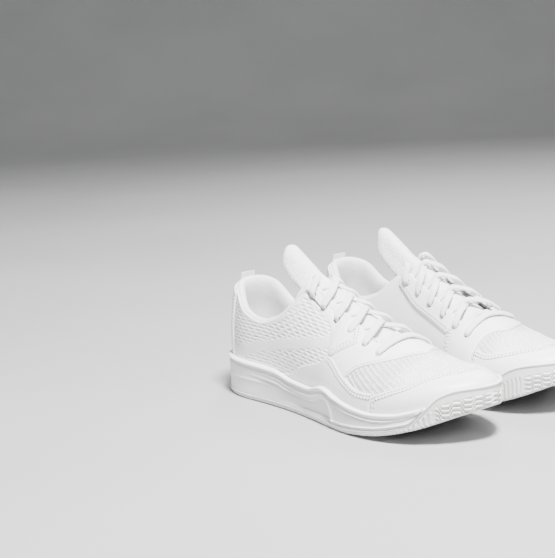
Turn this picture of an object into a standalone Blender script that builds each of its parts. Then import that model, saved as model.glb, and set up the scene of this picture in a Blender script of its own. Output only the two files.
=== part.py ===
"""A pair of white lace-up cheer shoes, built as separate pieces in a shared frame.

+X points to the toes, +Y to the wearer's left and +Z up. The ground is z = 0 and the origin is
the middle of the pair's footprint. Shapes are worked out in millimetres for the right shoe and
mirrored for the left one.

A point of a shoe's wall is given by a position round the outline and a height along a rib:
around runs 0 (heel back) - 1 (toe tip) on the lateral side and 1 - 2 back along the medial side,
and up runs 0 (feather edge, where the wall meets the sole) - 1 (ridge of the instep).
"""
import functools
import math

import bpy
import numpy as np
from mathutils import Vector

MM = 0.001
GAP = 0.3                    # clearance between touching pieces
PAIR_SPACING = 105.7         # between the two shoes' centre lines
LENGTH_CENTRE = 137.0        # half-way along the sole
TUBE_SIDES = 2               # bevel resolution of the laces

# Sole outline: positions round the outline, and the points there on each side.
STATIONS = (0, 0.07, 0.135, 0.255, 0.39, 0.525, 0.64, 0.745, 0.84, 0.92, 1)
LATERAL = ((0, 0), (6, -21), (24, -33), (62, -36.5), (105, -38.5), (147, -45.5),
           (184, -51.5), (217, -47.5), (244, -35.5), (263, -17), (274, 7))
MEDIAL = ((0, 0), (6, 21), (24, 31.5), (62, 31.5), (105, 28.5), (147, 34),
          (184, 43.5), (217, 46.5), (244, 41.5), (264, 28), (274, 7))
RING_STATIONS = (0, 0.035, 0.07, 0.105, 0.14, 0.18, 0.22, 0.27, 0.32, 0.38, 0.44, 0.49, 0.53,
                 0.57, 0.61, 0.65, 0.69, 0.73, 0.76, 0.79, 0.815, 0.84, 0.865, 0.89, 0.92,
                 0.95, 0.975, 1)
RING = RING_STATIONS + tuple(2 - s for s in RING_STATIONS[-2:0:-1])

# Layers of the upper, as distances out from the wall's surface.
UPPER_INSET = 5.0            # feather edge inside the sole's edge
OVERLAY = (0.35, 1.4)
BASE = (-1.5, 0.0)
STIFFENER = (-2.8, -1.8)
LINING_DEPTH = 3.1
LINING_THICKNESS = 1.0
COLLAR_EXTRA = 3.8           # padding behind the collar
PADDED = 0.15                # padded part of the collar, as a height along the ribs
TONGUE_DEPTH = 7.6
TONGUE_THICKNESS = 3.6
TONGUE_TOP_THICKNESS = 4.6

# Throat: the edges of the lacing gap and the eyelet rows, as heights along the ribs.
LATERAL_EDGE, MEDIAL_EDGE = 0.76, 0.66
LATERAL_EYELET, MEDIAL_EYELET = 0.655, 0.565
LATERAL_FACING, MEDIAL_FACING = 0.56, 0.44
EYELET_STATIONS = (0.656, 0.608, 0.556, 0.504, 0.456, 0.412)
THROAT_END = 0.69
OVERLAY_THROAT_END = 0.644   # the top layer reaches further back over the throat than the base
EYELET_RADIUS = 3.1
EYELET_SIDES = 6
CUTTER_ENDS = (-4.0, 4.0)    # of an eyelet's cutter, in and out from the wall
LACE_PASS = (-4.4, -1.4, 2.8)    # of the lace's middle from the wall, through an eyelet
LACE_RADIUS = 1.4
BAR_HEIGHT = 3.4             # of the lace's middle over the wall, where it crosses the overlay
LACE_STEP = 15.0
AGLET_RADIUS = 1.6
AGLET_LENGTH = 18.0
TONGUE_TOP_STATION = 0.28
TONGUE_HINGE_STATION = 0.368
HINGE_GAP = 0.006            # half the gap between the tongue and its flap, round the outline

# Sole heights above the ground or the feather edge.
OUTSOLE_SHEET = 3.2
RIM_ABOVE_GROUND = 4.2
WALL_OUT = 0.3
WALL_IN = 2.3
BUMPER_CLEAR = 14.0          # bumper height that hides the midsole
BOARD_TOP = -1.0
BOARD_BOTTOM = -2.8
SEAT = -3.1
SOCKLINER_BOTTOM = -0.7
SOCKLINER_TOP = 3.2
SHANK_ENDS = (62.0, 150.0)
SHANK_HALF_WIDTH = 9.0
SHANK_THICKNESS = 1.4

# Lattice that every piece of the upper shares, so that its layers stay parallel.
SIDE_COLUMNS = (0, 0.05, 0.1, 0.15, 0.22, 0.3, 0.38, 0.46, 0.53, 0.6, 0.65, 0.69,
                0.735, 0.78, 0.83, 0.88, 0.94, 1)
COLUMNS = SIDE_COLUMNS + tuple(2 - c for c in SIDE_COLUMNS[-2:0:-1])
LEVELS = (0, 0.1, 0.2, 0.32, 0.44, 0.56, 0.66, 0.76, 0.88, 1)
RIDGE_SHARE_FROM = 0.5       # ribs turn to the ridge's direction from this height up
RIDGE_POLE = 0.9             # ribs beyond this station meet in one point of the ridge


# ---------------------------------------------------------------- curves

def smooth_curve(knots, values, period):
    """Closed cubic spline through the values at the knots."""
    t = np.array(knots, float)
    p = np.array(values, float)
    n = len(t)
    h = np.diff(np.append(t, t[0] + period))
    a = np.zeros((n, n))
    b = np.zeros_like(p)
    for i in range(n):
        before, after = h[i - 1], h[i]
        a[i, i - 1] += before
        a[i, i] += 2 * (before + after)
        a[i, (i + 1) % n] += after
        b[i] = 6 * ((p[(i + 1) % n] - p[i]) / after - (p[i] - p[i - 1]) / before)
    m = np.linalg.solve(a, b)

    def at(u):
        u = t[0] + (u - t[0]) % period
        i = min(max(int(np.searchsorted(t, u, side="right")) - 1, 0), n - 1)
        j = (i + 1) % n
        x = u - t[i]
        w = h[i]
        y = w - x
        bend = (m[i] * y**3 + m[j] * x**3) / (6 * w)
        return bend + (p[i] / w - m[i] * w / 6) * y + (p[j] / w - m[j] * w / 6) * x

    return at


def profile(*points):
    """Monotone curve through (position, value) points, flat past its ends."""
    x, y = np.array(points, float).T
    h = np.diff(x)
    d = np.diff(y) / h
    m = np.zeros(len(x))
    m[0], m[-1] = d[0], d[-1]
    for i in range(1, len(x) - 1):
        if d[i - 1] * d[i] > 0:
            a, b = 2 * h[i] + h[i - 1], h[i] + 2 * h[i - 1]
            m[i] = (a + b) / (a / d[i - 1] + b / d[i])

    def at(u):
        u = min(max(u, x[0]), x[-1])
        i = min(max(int(np.searchsorted(x, u, side="right")) - 1, 0), len(h) - 1)
        t = (u - x[i]) / h[i]
        start = y[i] * (1 + 2 * t) * (1 - t) ** 2 + m[i] * h[i] * t * (1 - t) ** 2
        end = y[i + 1] * t * t * (3 - 2 * t) - m[i + 1] * h[i] * t * t * (1 - t)
        return float(start + end)

    return at


outline = smooth_curve(STATIONS + tuple(2 - s for s in STATIONS[-2:0:-1]), LATERAL + MEDIAL[-2:0:-1], 2)

# Heights along the length: underside, feather edge and instep ridge.
bottom_z = profile((0, 4), (14, 0.6), (30, 0), (165, 0), (205, 3), (235, 10), (275, 26))
foot_z = profile((0, 26), (60, 24), (130, 18), (180, 15), (230, 21), (275, 37))
ridge_z = profile((40, 150), (75, 130), (95, 116), (115, 103), (140, 88), (165, 74.5),
                  (190, 62.5), (215, 53.8), (232, 50))
ridge_y = profile((40, 0), (100, 2), (150, 4), (200, 6), (240, 8))
ridge_x = profile((0, 46), (0.135, 50), (0.255, 66), (0.39, 105), (0.525, 147), (0.64, 184),
                  (0.745, 212), (0.84, 226), (0.92, 231), (1, 232))

# Fullness of the ribs.
bulge = profile((0, 5), (0.14, 4), (0.3, 2.5), (0.5, 3), (0.7, 6), (0.85, 6), (1, 5))
rise = profile((0, 0.52), (0.3, 0.5), (0.5, 0.5), (0.7, 0.62), (0.85, 0.75), (1, 0.85))
shoulder = profile((0, 0.5), (0.3, 0.52), (0.5, 0.5), (0.7, 0.52), (0.85, 0.52), (1, 0.56),
                   (1.15, 0.62), (1.3, 0.62), (1.5, 0.52), (1.7, 0.52), (2, 0.5))

# How far the ribs follow the ridge's slope where they meet it, along the wall.
tilt = profile((0.3, 0), (0.45, 1))

# Top line of the collar above the ground, along the length.
collar_z = profile((0, 93), (16, 88), (40, 71), (60, 66), (78, 71), (94, 84), (110, 99))

# Edge of the outsole's rim, which climbs over the toe as a bumper.
rim_z = profile((0.72, 0), (0.776, 7.8), (0.816, 17), (0.848, 28.5), (0.88, 37.5), (0.924, 41.5),
                (1, 42.5), (1.056, 42), (1.128, 40), (1.172, 36), (1.2, 30), (1.235, 17), (1.28, 0))

# Top edge of the midsole's wall, which dips and peaks at the waist.
wall_z = profile((0, 33), (0.15, 32), (0.316, 30), (0.388, 26), (0.46, 25), (0.524, 29.5),
                 (0.592, 25), (0.648, 22), (0.7, 20.5), (0.764, 22), (0.812, 25.5), (0.848, 28.5),
                 (0.9, 29.5), (1, 30), (1.1, 29.5), (1.19, 26), (1.25, 22), (1.32, 20.5),
                 (1.4, 23), (1.48, 26.5), (1.56, 25), (1.66, 28), (1.8, 31), (2, 33))

# Edges of the overlays, as heights along the ribs.
guard_top = profile((0.7, 0.22), (0.74, 0.3), (0.78, 0.38), (0.83, 0.53), (0.9, 0.66), (1, 0.7),
                    (1.1, 0.66), (1.17, 0.56), (1.22, 0.48), (1.26, 0.43), (1.3, 0.45))
foxing_top = profile((0.3, 0.03), (0.368, 0.06), (0.412, 0.14), (0.496, 0.27), (0.532, 0.355),
                     (0.6, 0.275), (0.668, 0.225), (0.697, 0.215))
overlay_lower = profile((0.537, 0.37), (0.6, 0.3), (0.628, 0.42), (0.672, 0.57), (0.69, 0.64),
                        (0.71, 0.8), (0.735, 0.93))
overlay_joint = profile((0.537, 0.385), (0.56, 0.47), (0.584, 0.56))
eyestay_lower = profile((0.385, 0.6), (0.46, 0.5), (0.52, 0.39), (0.535, 0.4), (0.56, 0.485),
                        (0.582, 0.575))
medial_overlay_lower = profile((1.265, 0.93), (1.29, 0.78), (1.31, 0.56))
medial_eyestay_lower = profile((1.418, 0.42), (1.54, 0.42), (1.615, 0.5))


# ---------------------------------------------------------------- wall of the upper

def outward(around):
    """Unit normal of the outline, pointing out of the shoe."""
    step = 1e-4
    d = outline(around + step) - outline(around - step)
    n = np.array((d[1], -d[0]))
    return n / np.linalg.norm(n)


def station(around):
    around = around % 2
    return 2 - around if around > 1 else around


@functools.lru_cache(maxsize=None)
def rib_point(around, up):
    """Point of a rib, which springs from the feather edge and meets the ridge."""
    t = station(around)
    edge = outline(around)
    n = outward(around)
    foot = np.append(edge - n * UPPER_INSET, foot_z(edge[0]))
    x = ridge_x(t)
    top = np.array((x, ridge_y(x), ridge_z(x)))
    height = top[2] - foot[2]
    low = foot + np.append(n * bulge(t), height * rise(t))
    level = foot - top
    slope = (ridge_z(x + 1) - ridge_z(x - 1)) / 2
    level[2] = slope * tilt(t) * level[0]
    high = top + level * shoulder(around % 2)
    down = 1 - up
    return foot * down**3 + 3 * low * up * down**2 + 3 * high * up * up * down + top * up**3


@functools.lru_cache(maxsize=None)
def side_normal(around, up):
    step = 1e-3
    up = min(up, 0.97)
    along = rib_point(around + step, up) - rib_point(around - step, up)
    across = rib_point(around, up + step) - rib_point(around, up - step)
    n = np.cross(along, across)
    return n / np.linalg.norm(n)


def wall_normal(around, up):
    """Direction out of the wall. Towards the ridge it turns to the one that both sides share."""
    n = side_normal(around, up)
    share = min(max((up - RIDGE_SHARE_FROM) / (1 - RIDGE_SHARE_FROM), 0), 1)
    share = share * share * (3 - 2 * share)
    if share == 0:
        return n
    t = station(around)
    ridge = side_normal(t, 1) + side_normal(2 - t, 1)
    n = n * (1 - share) + ridge / np.linalg.norm(ridge) * share
    return n / np.linalg.norm(n)


def wall_point(around, up, out=0.0):
    """Point a distance out from the wall. On the ridge, the two sides share it."""
    if up > 0.999:
        around, up = station(around), 1
    return rib_point(around, up) + wall_normal(around, up) * out


def offset_at(offset, around, up):
    return offset(around, up) if callable(offset) else offset


lattice_cache = {}


def lattice_point(column, level, offset):
    around, up = COLUMNS[column % len(COLUMNS)], LEVELS[level]
    if up == 1 and station(around) > RIDGE_POLE:
        around = 1
    out = offset_at(offset, around, up)
    key = (around, up, round(out, 6))
    if key not in lattice_cache:
        lattice_cache[key] = wall_point(around, up, out)
    return lattice_cache[key]


def facet_point(around, up, offset):
    """Point of the faceted wall, on one of the two triangles of its lattice cell."""
    around = around % 2
    i = int(np.searchsorted(COLUMNS, around, side="right")) - 1
    j = min(int(np.searchsorted(LEVELS, up, side="right")) - 1, len(LEVELS) - 2)
    next_column = COLUMNS[i + 1] if i + 1 < len(COLUMNS) else 2
    s = (around - COLUMNS[i]) / (next_column - COLUMNS[i])
    t = (up - LEVELS[j]) / (LEVELS[j + 1] - LEVELS[j])
    near, far = lattice_point(i, j, offset), lattice_point(i + 1, j + 1, offset)
    if s >= t:
        side = lattice_point(i + 1, j, offset)
        return near + (side - near) * s + (far - side) * t
    side = lattice_point(i, j + 1, offset)
    return near + (side - near) * t + (far - side) * s


def up_at_height(around, z):
    """Height along a rib of the point that lies z above the ground."""
    low, high = 0.0, 1.0
    for _ in range(30):
        middle = (low + high) / 2
        if rib_point(around, middle)[2] < z:
            low = middle
        else:
            high = middle
    return low


@functools.lru_cache(maxsize=None)
def collar_top(around):
    """Top line of the upper, along the ribs."""
    x = outline(around)[0]
    return up_at_height(around, collar_z(x))


def lining_offset(around, up):
    """Depth of the lining's outer face: deeper behind the padded collar."""
    t = station(around)
    if t > 0.38:
        return -LINING_DEPTH
    near_top = min(max((up - collar_top(around) + PADDED) / (PADDED - 0.06), 0), 1)
    near_heel = min(max((0.33 - t) / 0.1, 0), 1)
    return -LINING_DEPTH - COLLAR_EXTRA * near_top * near_heel


def beside(offset, distance):
    """The same depth, a distance further out."""
    return lambda around, up: offset_at(offset, around, up) + distance


# ---------------------------------------------------------------- meshes

class Side:
    """One shoe of the pair: its name and how it is placed."""

    def __init__(self, name, sign):
        self.name = name
        self.sign = sign

    def place(self, point):
        x, y, z = point
        return Vector((x - LENGTH_CENTRE, self.sign * (PAIR_SPACING / 2 - y), z)) * MM


RIGHT = Side("right", -1)
LEFT = Side("left", 1)


def material(name, colour, roughness):
    found = bpy.data.materials.get(name)
    if found:
        return found
    made = bpy.data.materials.new(name)
    made.use_nodes = True
    shader = made.node_tree.nodes["Principled BSDF"]
    shader.inputs["Base Color"].default_value = (*colour, 1)
    shader.inputs["Roughness"].default_value = roughness
    shader.inputs["Metallic"].default_value = 0
    return made


def volume_of(points, faces):
    total = 0.0
    for face in faces:
        for k in range(1, len(face) - 1):
            a, b, c = points[face[0]], points[face[k]], points[face[k + 1]]
            total += a.dot(b.cross(c)) / 6
    return total


def add_mesh(side, name, points, faces, surface):
    """Object with its faces turned outwards."""
    points = [side.place(p) for p in points]
    if volume_of(points, faces) < 0:
        faces = [tuple(reversed(face)) for face in faces]
    mesh = bpy.data.meshes.new(name)
    mesh.from_pydata(points, [], faces)
    mesh.materials.append(surface)
    mesh.shade_smooth()
    mesh.set_sharp_from_angle(angle=math.radians(40))
    made = bpy.data.objects.new(f"{side.name}_{name}", mesh)
    bpy.context.scene.collection.objects.link(made)
    return made


def without_repeats(corners):
    kept = []
    for corner in corners:
        if corner not in kept:
            kept.append(corner)
    return kept


def value_at(rule, around):
    """An edge's height along the rib, drawn onto a lattice level that it all but touches."""
    value = rule(around) if callable(rule) else rule
    for level in LEVELS:
        if abs(value - level) < 0.002:
            return level
    return value


def level_crossings(rule, start, end):
    """Positions where an edge passes a lattice level, so that no facet spans two levels."""
    found = []
    for level in LEVELS:
        a, b = start, end
        if (value_at(rule, a) - level) * (value_at(rule, b) - level) >= 0:
            continue
        rising = value_at(rule, b) > level
        for _ in range(20):
            middle = (a + b) / 2
            if (value_at(rule, middle) > level) == rising:
                b = middle
            else:
                a = middle
        found.append((a + b) / 2)
    return found


def strip_columns(start, end, lower, upper):
    """Positions of a strip's rows of corners: its ends, the lattice and its edges' crossings."""
    turns = [c + turn for turn in (0, 2) for c in COLUMNS]
    columns = [start] + [c for c in turns if start + 1e-4 < c < end - 1e-4] + [end]
    crossings = []
    for a, b in zip(columns, columns[1:]):
        crossings += level_crossings(lower, a, b) + level_crossings(upper, a, b)
    return columns + crossings


def wall_shell(side, name, strips, inner, outer, surface):
    """Closed sheet over strips of the wall. A strip is (start, end, lower edge, upper edge)."""
    keys = []
    index = {}
    cells = []

    def corner(around, up):
        up = round(up, 5)
        around = round(around % 2, 5)
        if up >= 1:
            around = round(station(around), 5)
            around = 1 if around > RIDGE_POLE else around
        key = (around, up)
        if key not in index:
            index[key] = len(keys)
            keys.append(key)
        return index[key]

    on_ridge = {station(c) for strip in strips if strip[3] == 1 for c in strip_columns(*strip)}
    for start, end, lower, upper in strips:
        columns = set(strip_columns(start, end, lower, upper))
        if upper == 1:
            both = on_ridge | {2 - c for c in on_ridge}
            columns |= {c for c in both if start < c < end}
        columns = sorted({round(c, 5) for c in columns})
        for a, b in zip(columns, columns[1:]):
            rows_a = [min(max(level, value_at(lower, a)), value_at(upper, a)) for level in LEVELS]
            rows_b = [min(max(level, value_at(lower, b)), value_at(upper, b)) for level in LEVELS]
            for k in range(len(LEVELS) - 1):
                near, far = corner(a, rows_a[k]), corner(b, rows_b[k + 1])
                for cell in ([near, corner(b, rows_b[k]), far], [near, far, corner(a, rows_a[k + 1])]):
                    if len(set(cell)) == 3:
                        cells.append(cell)
    count = len(keys)
    points = [facet_point(a, u, outer) for a, u in keys] + [facet_point(a, u, inner) for a, u in keys]
    faces = [tuple(cell) for cell in cells]
    faces += [tuple(c + count for c in reversed(cell)) for cell in cells]
    edges = {(cell[i - 1], cell[i]) for cell in cells for i in range(len(cell))}
    faces += [(b, a, a + count, b + count) for a, b in edges if (b, a) not in edges]
    return add_mesh(side, name, points, faces, surface)


def ring(inset, height):
    """Closed ring inside the outline. Both rules take the position round it, height also x."""
    points = []
    for around in RING:
        edge = outline(around)
        x, y = edge - outward(around) * value_at(inset, around)
        points.append((x, y, height(around, edge[0])))
    return points


def ring_stack(side, name, rings, surface):
    """Closed solid through a stack of rings, with its ends bridged from side to side."""
    points = [p for one in rings for p in one]
    n = len(RING)
    faces = []
    for r in range(len(rings) - 1):
        for k in range(n):
            a, b = r * n + k, r * n + (k + 1) % n
            faces.append((a, b, b + n, a + n))
    for first, turned in ((0, True), ((len(rings) - 1) * n, False)):
        for k in range(n // 2):
            opposite = (first + (n - k - 1) % n, first + (n - k) % n)
            cell = without_repeats([first + k, first + k + 1, *opposite])
            faces.append(tuple(reversed(cell)) if turned else tuple(cell))
    return add_mesh(side, name, points, faces, surface)


# ---------------------------------------------------------------- sole

def rubber():
    return material("white_rubber", (0.82, 0.82, 0.80), 0.6)


def foam():
    return material("moulded_foam", (0.9, 0.9, 0.89), 0.5)


def leather():
    return material("white_leather", (0.88, 0.88, 0.87), 0.45)


def fabric():
    return material("white_mesh", (0.8, 0.81, 0.82), 0.85)


def board():
    return material("fibre_board", (0.62, 0.55, 0.44), 0.8)


def plastic():
    return material("stiffener_plastic", (0.75, 0.77, 0.8), 0.5)


def rim_height(around, x):
    """Top of the outsole's edge: a low rim, or the toe bumper where that is higher."""
    return max(bottom_z(x) + RIM_ABOVE_GROUND, rim_z(around % 2))


def covered(around):
    """Whether the toe bumper stands in front of the midsole here, or close beside."""
    return any(rim_z((around + step) % 2) > BUMPER_CLEAR for step in (-0.03, 0, 0.03))


def wall_height(around, x):
    """Top of the midsole's wall, which ends below the upper where the bumper covers it."""
    return foot_z(x) + SEAT + 1.2 if covered(around) else wall_z(around % 2)


def build_outsole(side):
    inner = WALL_IN
    rings = [ring(3.0, lambda a, x: bottom_z(x)),
             ring(0.6, lambda a, x: bottom_z(x) + 1.6),
             ring(WALL_OUT, rim_height),
             ring(inner, rim_height),
             ring(inner, lambda a, x: bottom_z(x) + OUTSOLE_SHEET)]
    return ring_stack(side, "outsole", rings, rubber())


def build_midsole(side):
    inside = WALL_IN + GAP

    def shelf(around, x):
        return min(rim_height(around, x) + GAP, wall_height(around, x) - 0.7)

    def outer(around):
        return inside if covered(around) else WALL_OUT

    def inner(around):
        return inside + 0.7 if covered(around) else WALL_IN

    rings = [ring(inside, lambda a, x: bottom_z(x) + OUTSOLE_SHEET + GAP),
             ring(inside, shelf),
             ring(outer, lambda a, x: shelf(a, x) + 0.3),
             ring(outer, wall_height),
             ring(inner, wall_height),
             ring(inner, lambda a, x: foot_z(x) + SEAT)]
    made = ring_stack(side, "midsole", rings, foam())
    pocket = shank_solid(side, "shank_pocket", GAP, foam())
    pocket.hide_render = True
    pocket.display_type = "WIRE"
    cut = made.modifiers.new("shank_pocket", "BOOLEAN")
    cut.operation = "DIFFERENCE"
    cut.solver = "EXACT"
    cut.object = pocket
    return made


def shank_solid(side, name, grow, surface):
    """Thin plate down the middle of the waist, grown by a clearance for its pocket."""
    top = SEAT if grow == 0 else SEAT + 1.0
    bottom = SEAT - SHANK_THICKNESS - grow
    steps = 6
    points, faces = [], []
    for k in range(steps + 1):
        x = SHANK_ENDS[0] - grow + (SHANK_ENDS[1] - SHANK_ENDS[0] + 2 * grow) * k / steps
        half = SHANK_HALF_WIDTH + grow
        for z in (foot_z(x) + bottom, foot_z(x) + top):
            points += [(x, -half - 2, z), (x, half - 2, z)]
    for k in range(steps):
        a = 4 * k
        for i, j in ((0, 1), (1, 3), (3, 2), (2, 0)):
            faces.append((a + i, a + j, a + 4 + j, a + 4 + i))
    end = 4 * steps
    faces += [(0, 2, 3, 1), (end, end + 1, end + 3, end + 2)]
    return add_mesh(side, name, points, faces, surface)


def build_insole(side):
    shank_solid(side, "shank_plate", 0, plastic())
    rings = [ring(5.8, lambda a, x: foot_z(x) + BOARD_BOTTOM),
             ring(5.8, lambda a, x: foot_z(x) + BOARD_TOP)]
    ring_stack(side, "insole_board", rings, board())
    toe = profile((0, 9.4), (0.72, 9.6), (0.85, 13), (1, 18), (1.15, 13), (1.28, 9.6), (2, 9.4))
    shaved = profile((0, 10.2), (0.72, 10.6), (0.85, 14), (1, 20), (1.15, 14), (1.28, 10.6), (2, 10.2))
    rings = [ring(toe, lambda a, x: foot_z(x) + SOCKLINER_BOTTOM),
             ring(toe, lambda a, x: foot_z(x) + SOCKLINER_TOP - 0.8),
             ring(shaved, lambda a, x: foot_z(x) + SOCKLINER_TOP)]
    ring_stack(side, "sockliner", rings, fabric())


# ---------------------------------------------------------------- upper

def build_base(side):
    """The load-carrying layer: mesh vamp, two quarters and the eyelet facings."""
    vamp = [(0.601, THROAT_END, 0, LATERAL_FACING), (THROAT_END, 2 - THROAT_END, 0, 1),
            (2 - THROAT_END, 1.399, 0, MEDIAL_FACING)]
    wall_shell(side, "vamp_mesh", vamp, *BASE, fabric())
    lateral = [(0.001, 0.38, 0, collar_top), (0.38, 0.599, 0, LATERAL_FACING)]
    wall_shell(side, "quarter_lateral", lateral, *BASE, leather())
    medial = [(1.401, 1.62, 0, MEDIAL_FACING), (1.62, 1.999, 0, collar_top)]
    wall_shell(side, "quarter_medial", medial, *BASE, leather())
    lateral = [(0.383, 0.688, LATERAL_FACING + 0.006, LATERAL_EDGE)]
    medial = [(1.312, 1.617, MEDIAL_FACING + 0.006, MEDIAL_EDGE)]
    return [wall_shell(side, "facing_lateral", lateral, *BASE, fabric()),
            wall_shell(side, "facing_medial", medial, *BASE, fabric())]


def build_overlays(side):
    """Smooth leather pieces sewn on the base."""
    wall_shell(side, "toe_guard", [(0.7, 1.3, 0, guard_top)], *OVERLAY, leather())
    wall_shell(side, "foxing_lateral", [(0.3, 0.697, 0, foxing_top)], *OVERLAY, leather())
    heel = [(1.88, 2.12, 0, lambda a: collar_top(a) - 0.01)]
    wall_shell(side, "heel_overlay", heel, *OVERLAY, leather())
    tab = [(1.972, 2.028, lambda a: collar_top(a) - 0.13, lambda a: collar_top(a) + 0.03)]
    wall_shell(side, "heel_tab", tab, OVERLAY[1] + GAP, OVERLAY[1] + GAP + 1.5, fabric())
    vamp = [(0.537, 0.584, overlay_lower, overlay_joint),
            (0.584, OVERLAY_THROAT_END, overlay_lower, LATERAL_EDGE),
            (OVERLAY_THROAT_END, 0.735, overlay_lower, 1),
            (1.265, 2 - OVERLAY_THROAT_END, medial_overlay_lower, 1),
            (2 - OVERLAY_THROAT_END, 1.414, 0, MEDIAL_EDGE)]
    overlay = wall_shell(side, "vamp_overlay", vamp, *OVERLAY, leather())
    lateral = wall_shell(side, "eyestay_lateral", [(0.383, 0.582, eyestay_lower, LATERAL_EDGE)],
                         *OVERLAY, leather())
    medial = wall_shell(side, "eyestay_medial", [(1.418, 1.617, medial_eyestay_lower, MEDIAL_EDGE)],
                        *OVERLAY, leather())
    return [overlay, lateral, medial]


def build_inside(side):
    """Stiffeners, padding and linings."""
    wall_shell(side, "toe_puff", [(0.8, 1.2, 0.03, 0.5)], *STIFFENER, plastic())
    counter = [(1.78, 2.22, 0.02, lambda a: collar_top(a) - PADDED - 0.01)]
    wall_shell(side, "heel_counter", counter, *STIFFENER, plastic())
    padding = [(1.7, 2.3, lambda a: collar_top(a) - PADDED + 0.01, lambda a: collar_top(a) - 0.012)]
    wall_shell(side, "collar_foam", padding, beside(lining_offset, GAP), BASE[0] - GAP, foam())
    lining = [(1.4, 1.62, 0.03, MEDIAL_FACING), (1.62, 2.38, 0.03, collar_top),
              (2.38, 2.6, 0.03, LATERAL_FACING)]
    inner_face = beside(lining_offset, -LINING_THICKNESS)
    wall_shell(side, "quarter_lining", lining, inner_face, lining_offset, fabric())
    front = [(0.602, THROAT_END, 0.03, LATERAL_FACING), (THROAT_END, 2 - THROAT_END, 0.03, 1),
             (2 - THROAT_END, 1.398, 0.03, MEDIAL_FACING)]
    inner = -LINING_DEPTH - LINING_THICKNESS
    wall_shell(side, "vamp_lining", front, inner, -LINING_DEPTH, fabric())


def tongue_strips(start, end, edges):
    """Both halves of a strip that crosses the ridge."""
    lateral, medial = edges
    return [(start, end, lateral, 1), (2 - end, 2 - start, medial, 1)]


def build_tongue(side):
    body = tongue_strips(TONGUE_HINGE_STATION + HINGE_GAP, 0.735, (0.6, 0.5))
    wall_shell(side, "tongue", body, -TONGUE_DEPTH - TONGUE_THICKNESS, -TONGUE_DEPTH, fabric())
    flap = tongue_strips(TONGUE_TOP_STATION, TONGUE_HINGE_STATION - HINGE_GAP, (0.62, 0.56))
    wall_shell(side, "tongue_top", flap, -TONGUE_DEPTH - TONGUE_TOP_THICKNESS, -TONGUE_DEPTH, fabric())


# ---------------------------------------------------------------- laces

def eyelet(row, lateral):
    """Place of an eyelet on the wall."""
    s = EYELET_STATIONS[row]
    return (s, LATERAL_EYELET) if lateral else (2 - s, MEDIAL_EYELET)


def eyelet_cutter(side, row, lateral):
    """Short prism through the wall at an eyelet."""
    around, up = eyelet(row, lateral)
    normal = wall_normal(around, up)
    across = np.cross(normal, (1, 0, 0))
    across /= np.linalg.norm(across)
    other = np.cross(normal, across)
    corners = []
    for out in CUTTER_ENDS:
        middle = rib_point(around, up) + normal * out
        for k in range(EYELET_SIDES):
            angle = 2 * math.pi * (k + 0.5) / EYELET_SIDES
            spoke = across * math.cos(angle) + other * math.sin(angle)
            corners.append(middle + spoke * EYELET_RADIUS)
    n = EYELET_SIDES
    faces = [(k, (k + 1) % n, (k + 1) % n + n, k + n) for k in range(n)]
    faces += [tuple(reversed(range(n))), tuple(range(n, 2 * n))]
    cutter = add_mesh(side, f"eyelet_cutter_{row}_{int(lateral)}", corners, faces, leather())
    cutter.hide_render = True
    cutter.display_type = "WIRE"
    return cutter


def cut_eyelets(side, sheets):
    """Holes through the eyestays and their facings, one cutter for each eyelet."""
    rows = range(len(EYELET_STATIONS))
    cutters = [eyelet_cutter(side, row, lateral) for row in rows for lateral in (True, False)]
    for sheet in sheets:
        low, high = mesh_box(sheet)
        for cutter in cutters:
            if not touches(cutter, low, high):
                continue
            cut = sheet.modifiers.new(cutter.name, "BOOLEAN")
            cut.operation = "DIFFERENCE"
            cut.solver = "EXACT"
            cut.object = cutter


def mesh_box(thing):
    points = np.array([v.co for v in thing.data.vertices])
    return points.min(axis=0), points.max(axis=0)


def touches(thing, low, high):
    own_low, own_high = mesh_box(thing)
    return bool(np.all(own_low < high) and np.all(own_high > low))


def throat_point(row, share, out):
    """Point over the lacing gap: share 0 at the lateral edge, 1 at the medial edge."""
    first, last = EYELET_STATIONS[0], EYELET_STATIONS[-1]
    s = first + (last - first) * row / (len(EYELET_STATIONS) - 1)
    lateral = wall_point(s, LATERAL_EDGE + 0.03, out)
    medial = wall_point(2 - s, MEDIAL_EDGE + 0.03, out)
    ridge = wall_point(s, 1, out)
    if share < 0.5:
        return lateral + (ridge - lateral) * share * 2
    return ridge + (medial - ridge) * (share * 2 - 1)


def through_eyelet(row, lateral, outwards):
    """Lace points through an eyelet, from inside to outside or back."""
    around, up = eyelet(row, lateral)
    points = [wall_point(around, up, out) for out in LACE_PASS]
    return points if outwards else points[::-1]


def crossing(row, from_lateral, over):
    """Lace points from an eyelet's outside over the throat to under the other side."""
    shares = (0.0, 0.27, 0.5, 0.73, 1.0)
    rows = (0.12, 0.35, 0.5, 0.65, 0.85)
    heights = (3.8, 2.8, 0.6, -2.6, -4.5) if over else (3.8, 0.6, -4.2, -4.8, -4.5)
    return [throat_point(row + r, s if from_lateral else 1 - s, h)
            for s, r, h in zip(shares, rows, heights)]


def inside_crossing(from_lateral, over):
    """Lace points from the first eyelet's inside, under both edges, to the next row."""
    heights = (-4.5, -3.6, -1.0, -3.6, -4.5) if over else (-4.5, -4.8, -4.8, -4.8, -4.5)
    shares = (0.0, 0.27, 0.5, 0.73, 1.0)
    rows = (0.15, 0.35, 0.5, 0.65, 0.85)
    return [throat_point(r, s if from_lateral else 1 - s, h)
            for s, r, h in zip(shares, rows, heights)]


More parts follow.
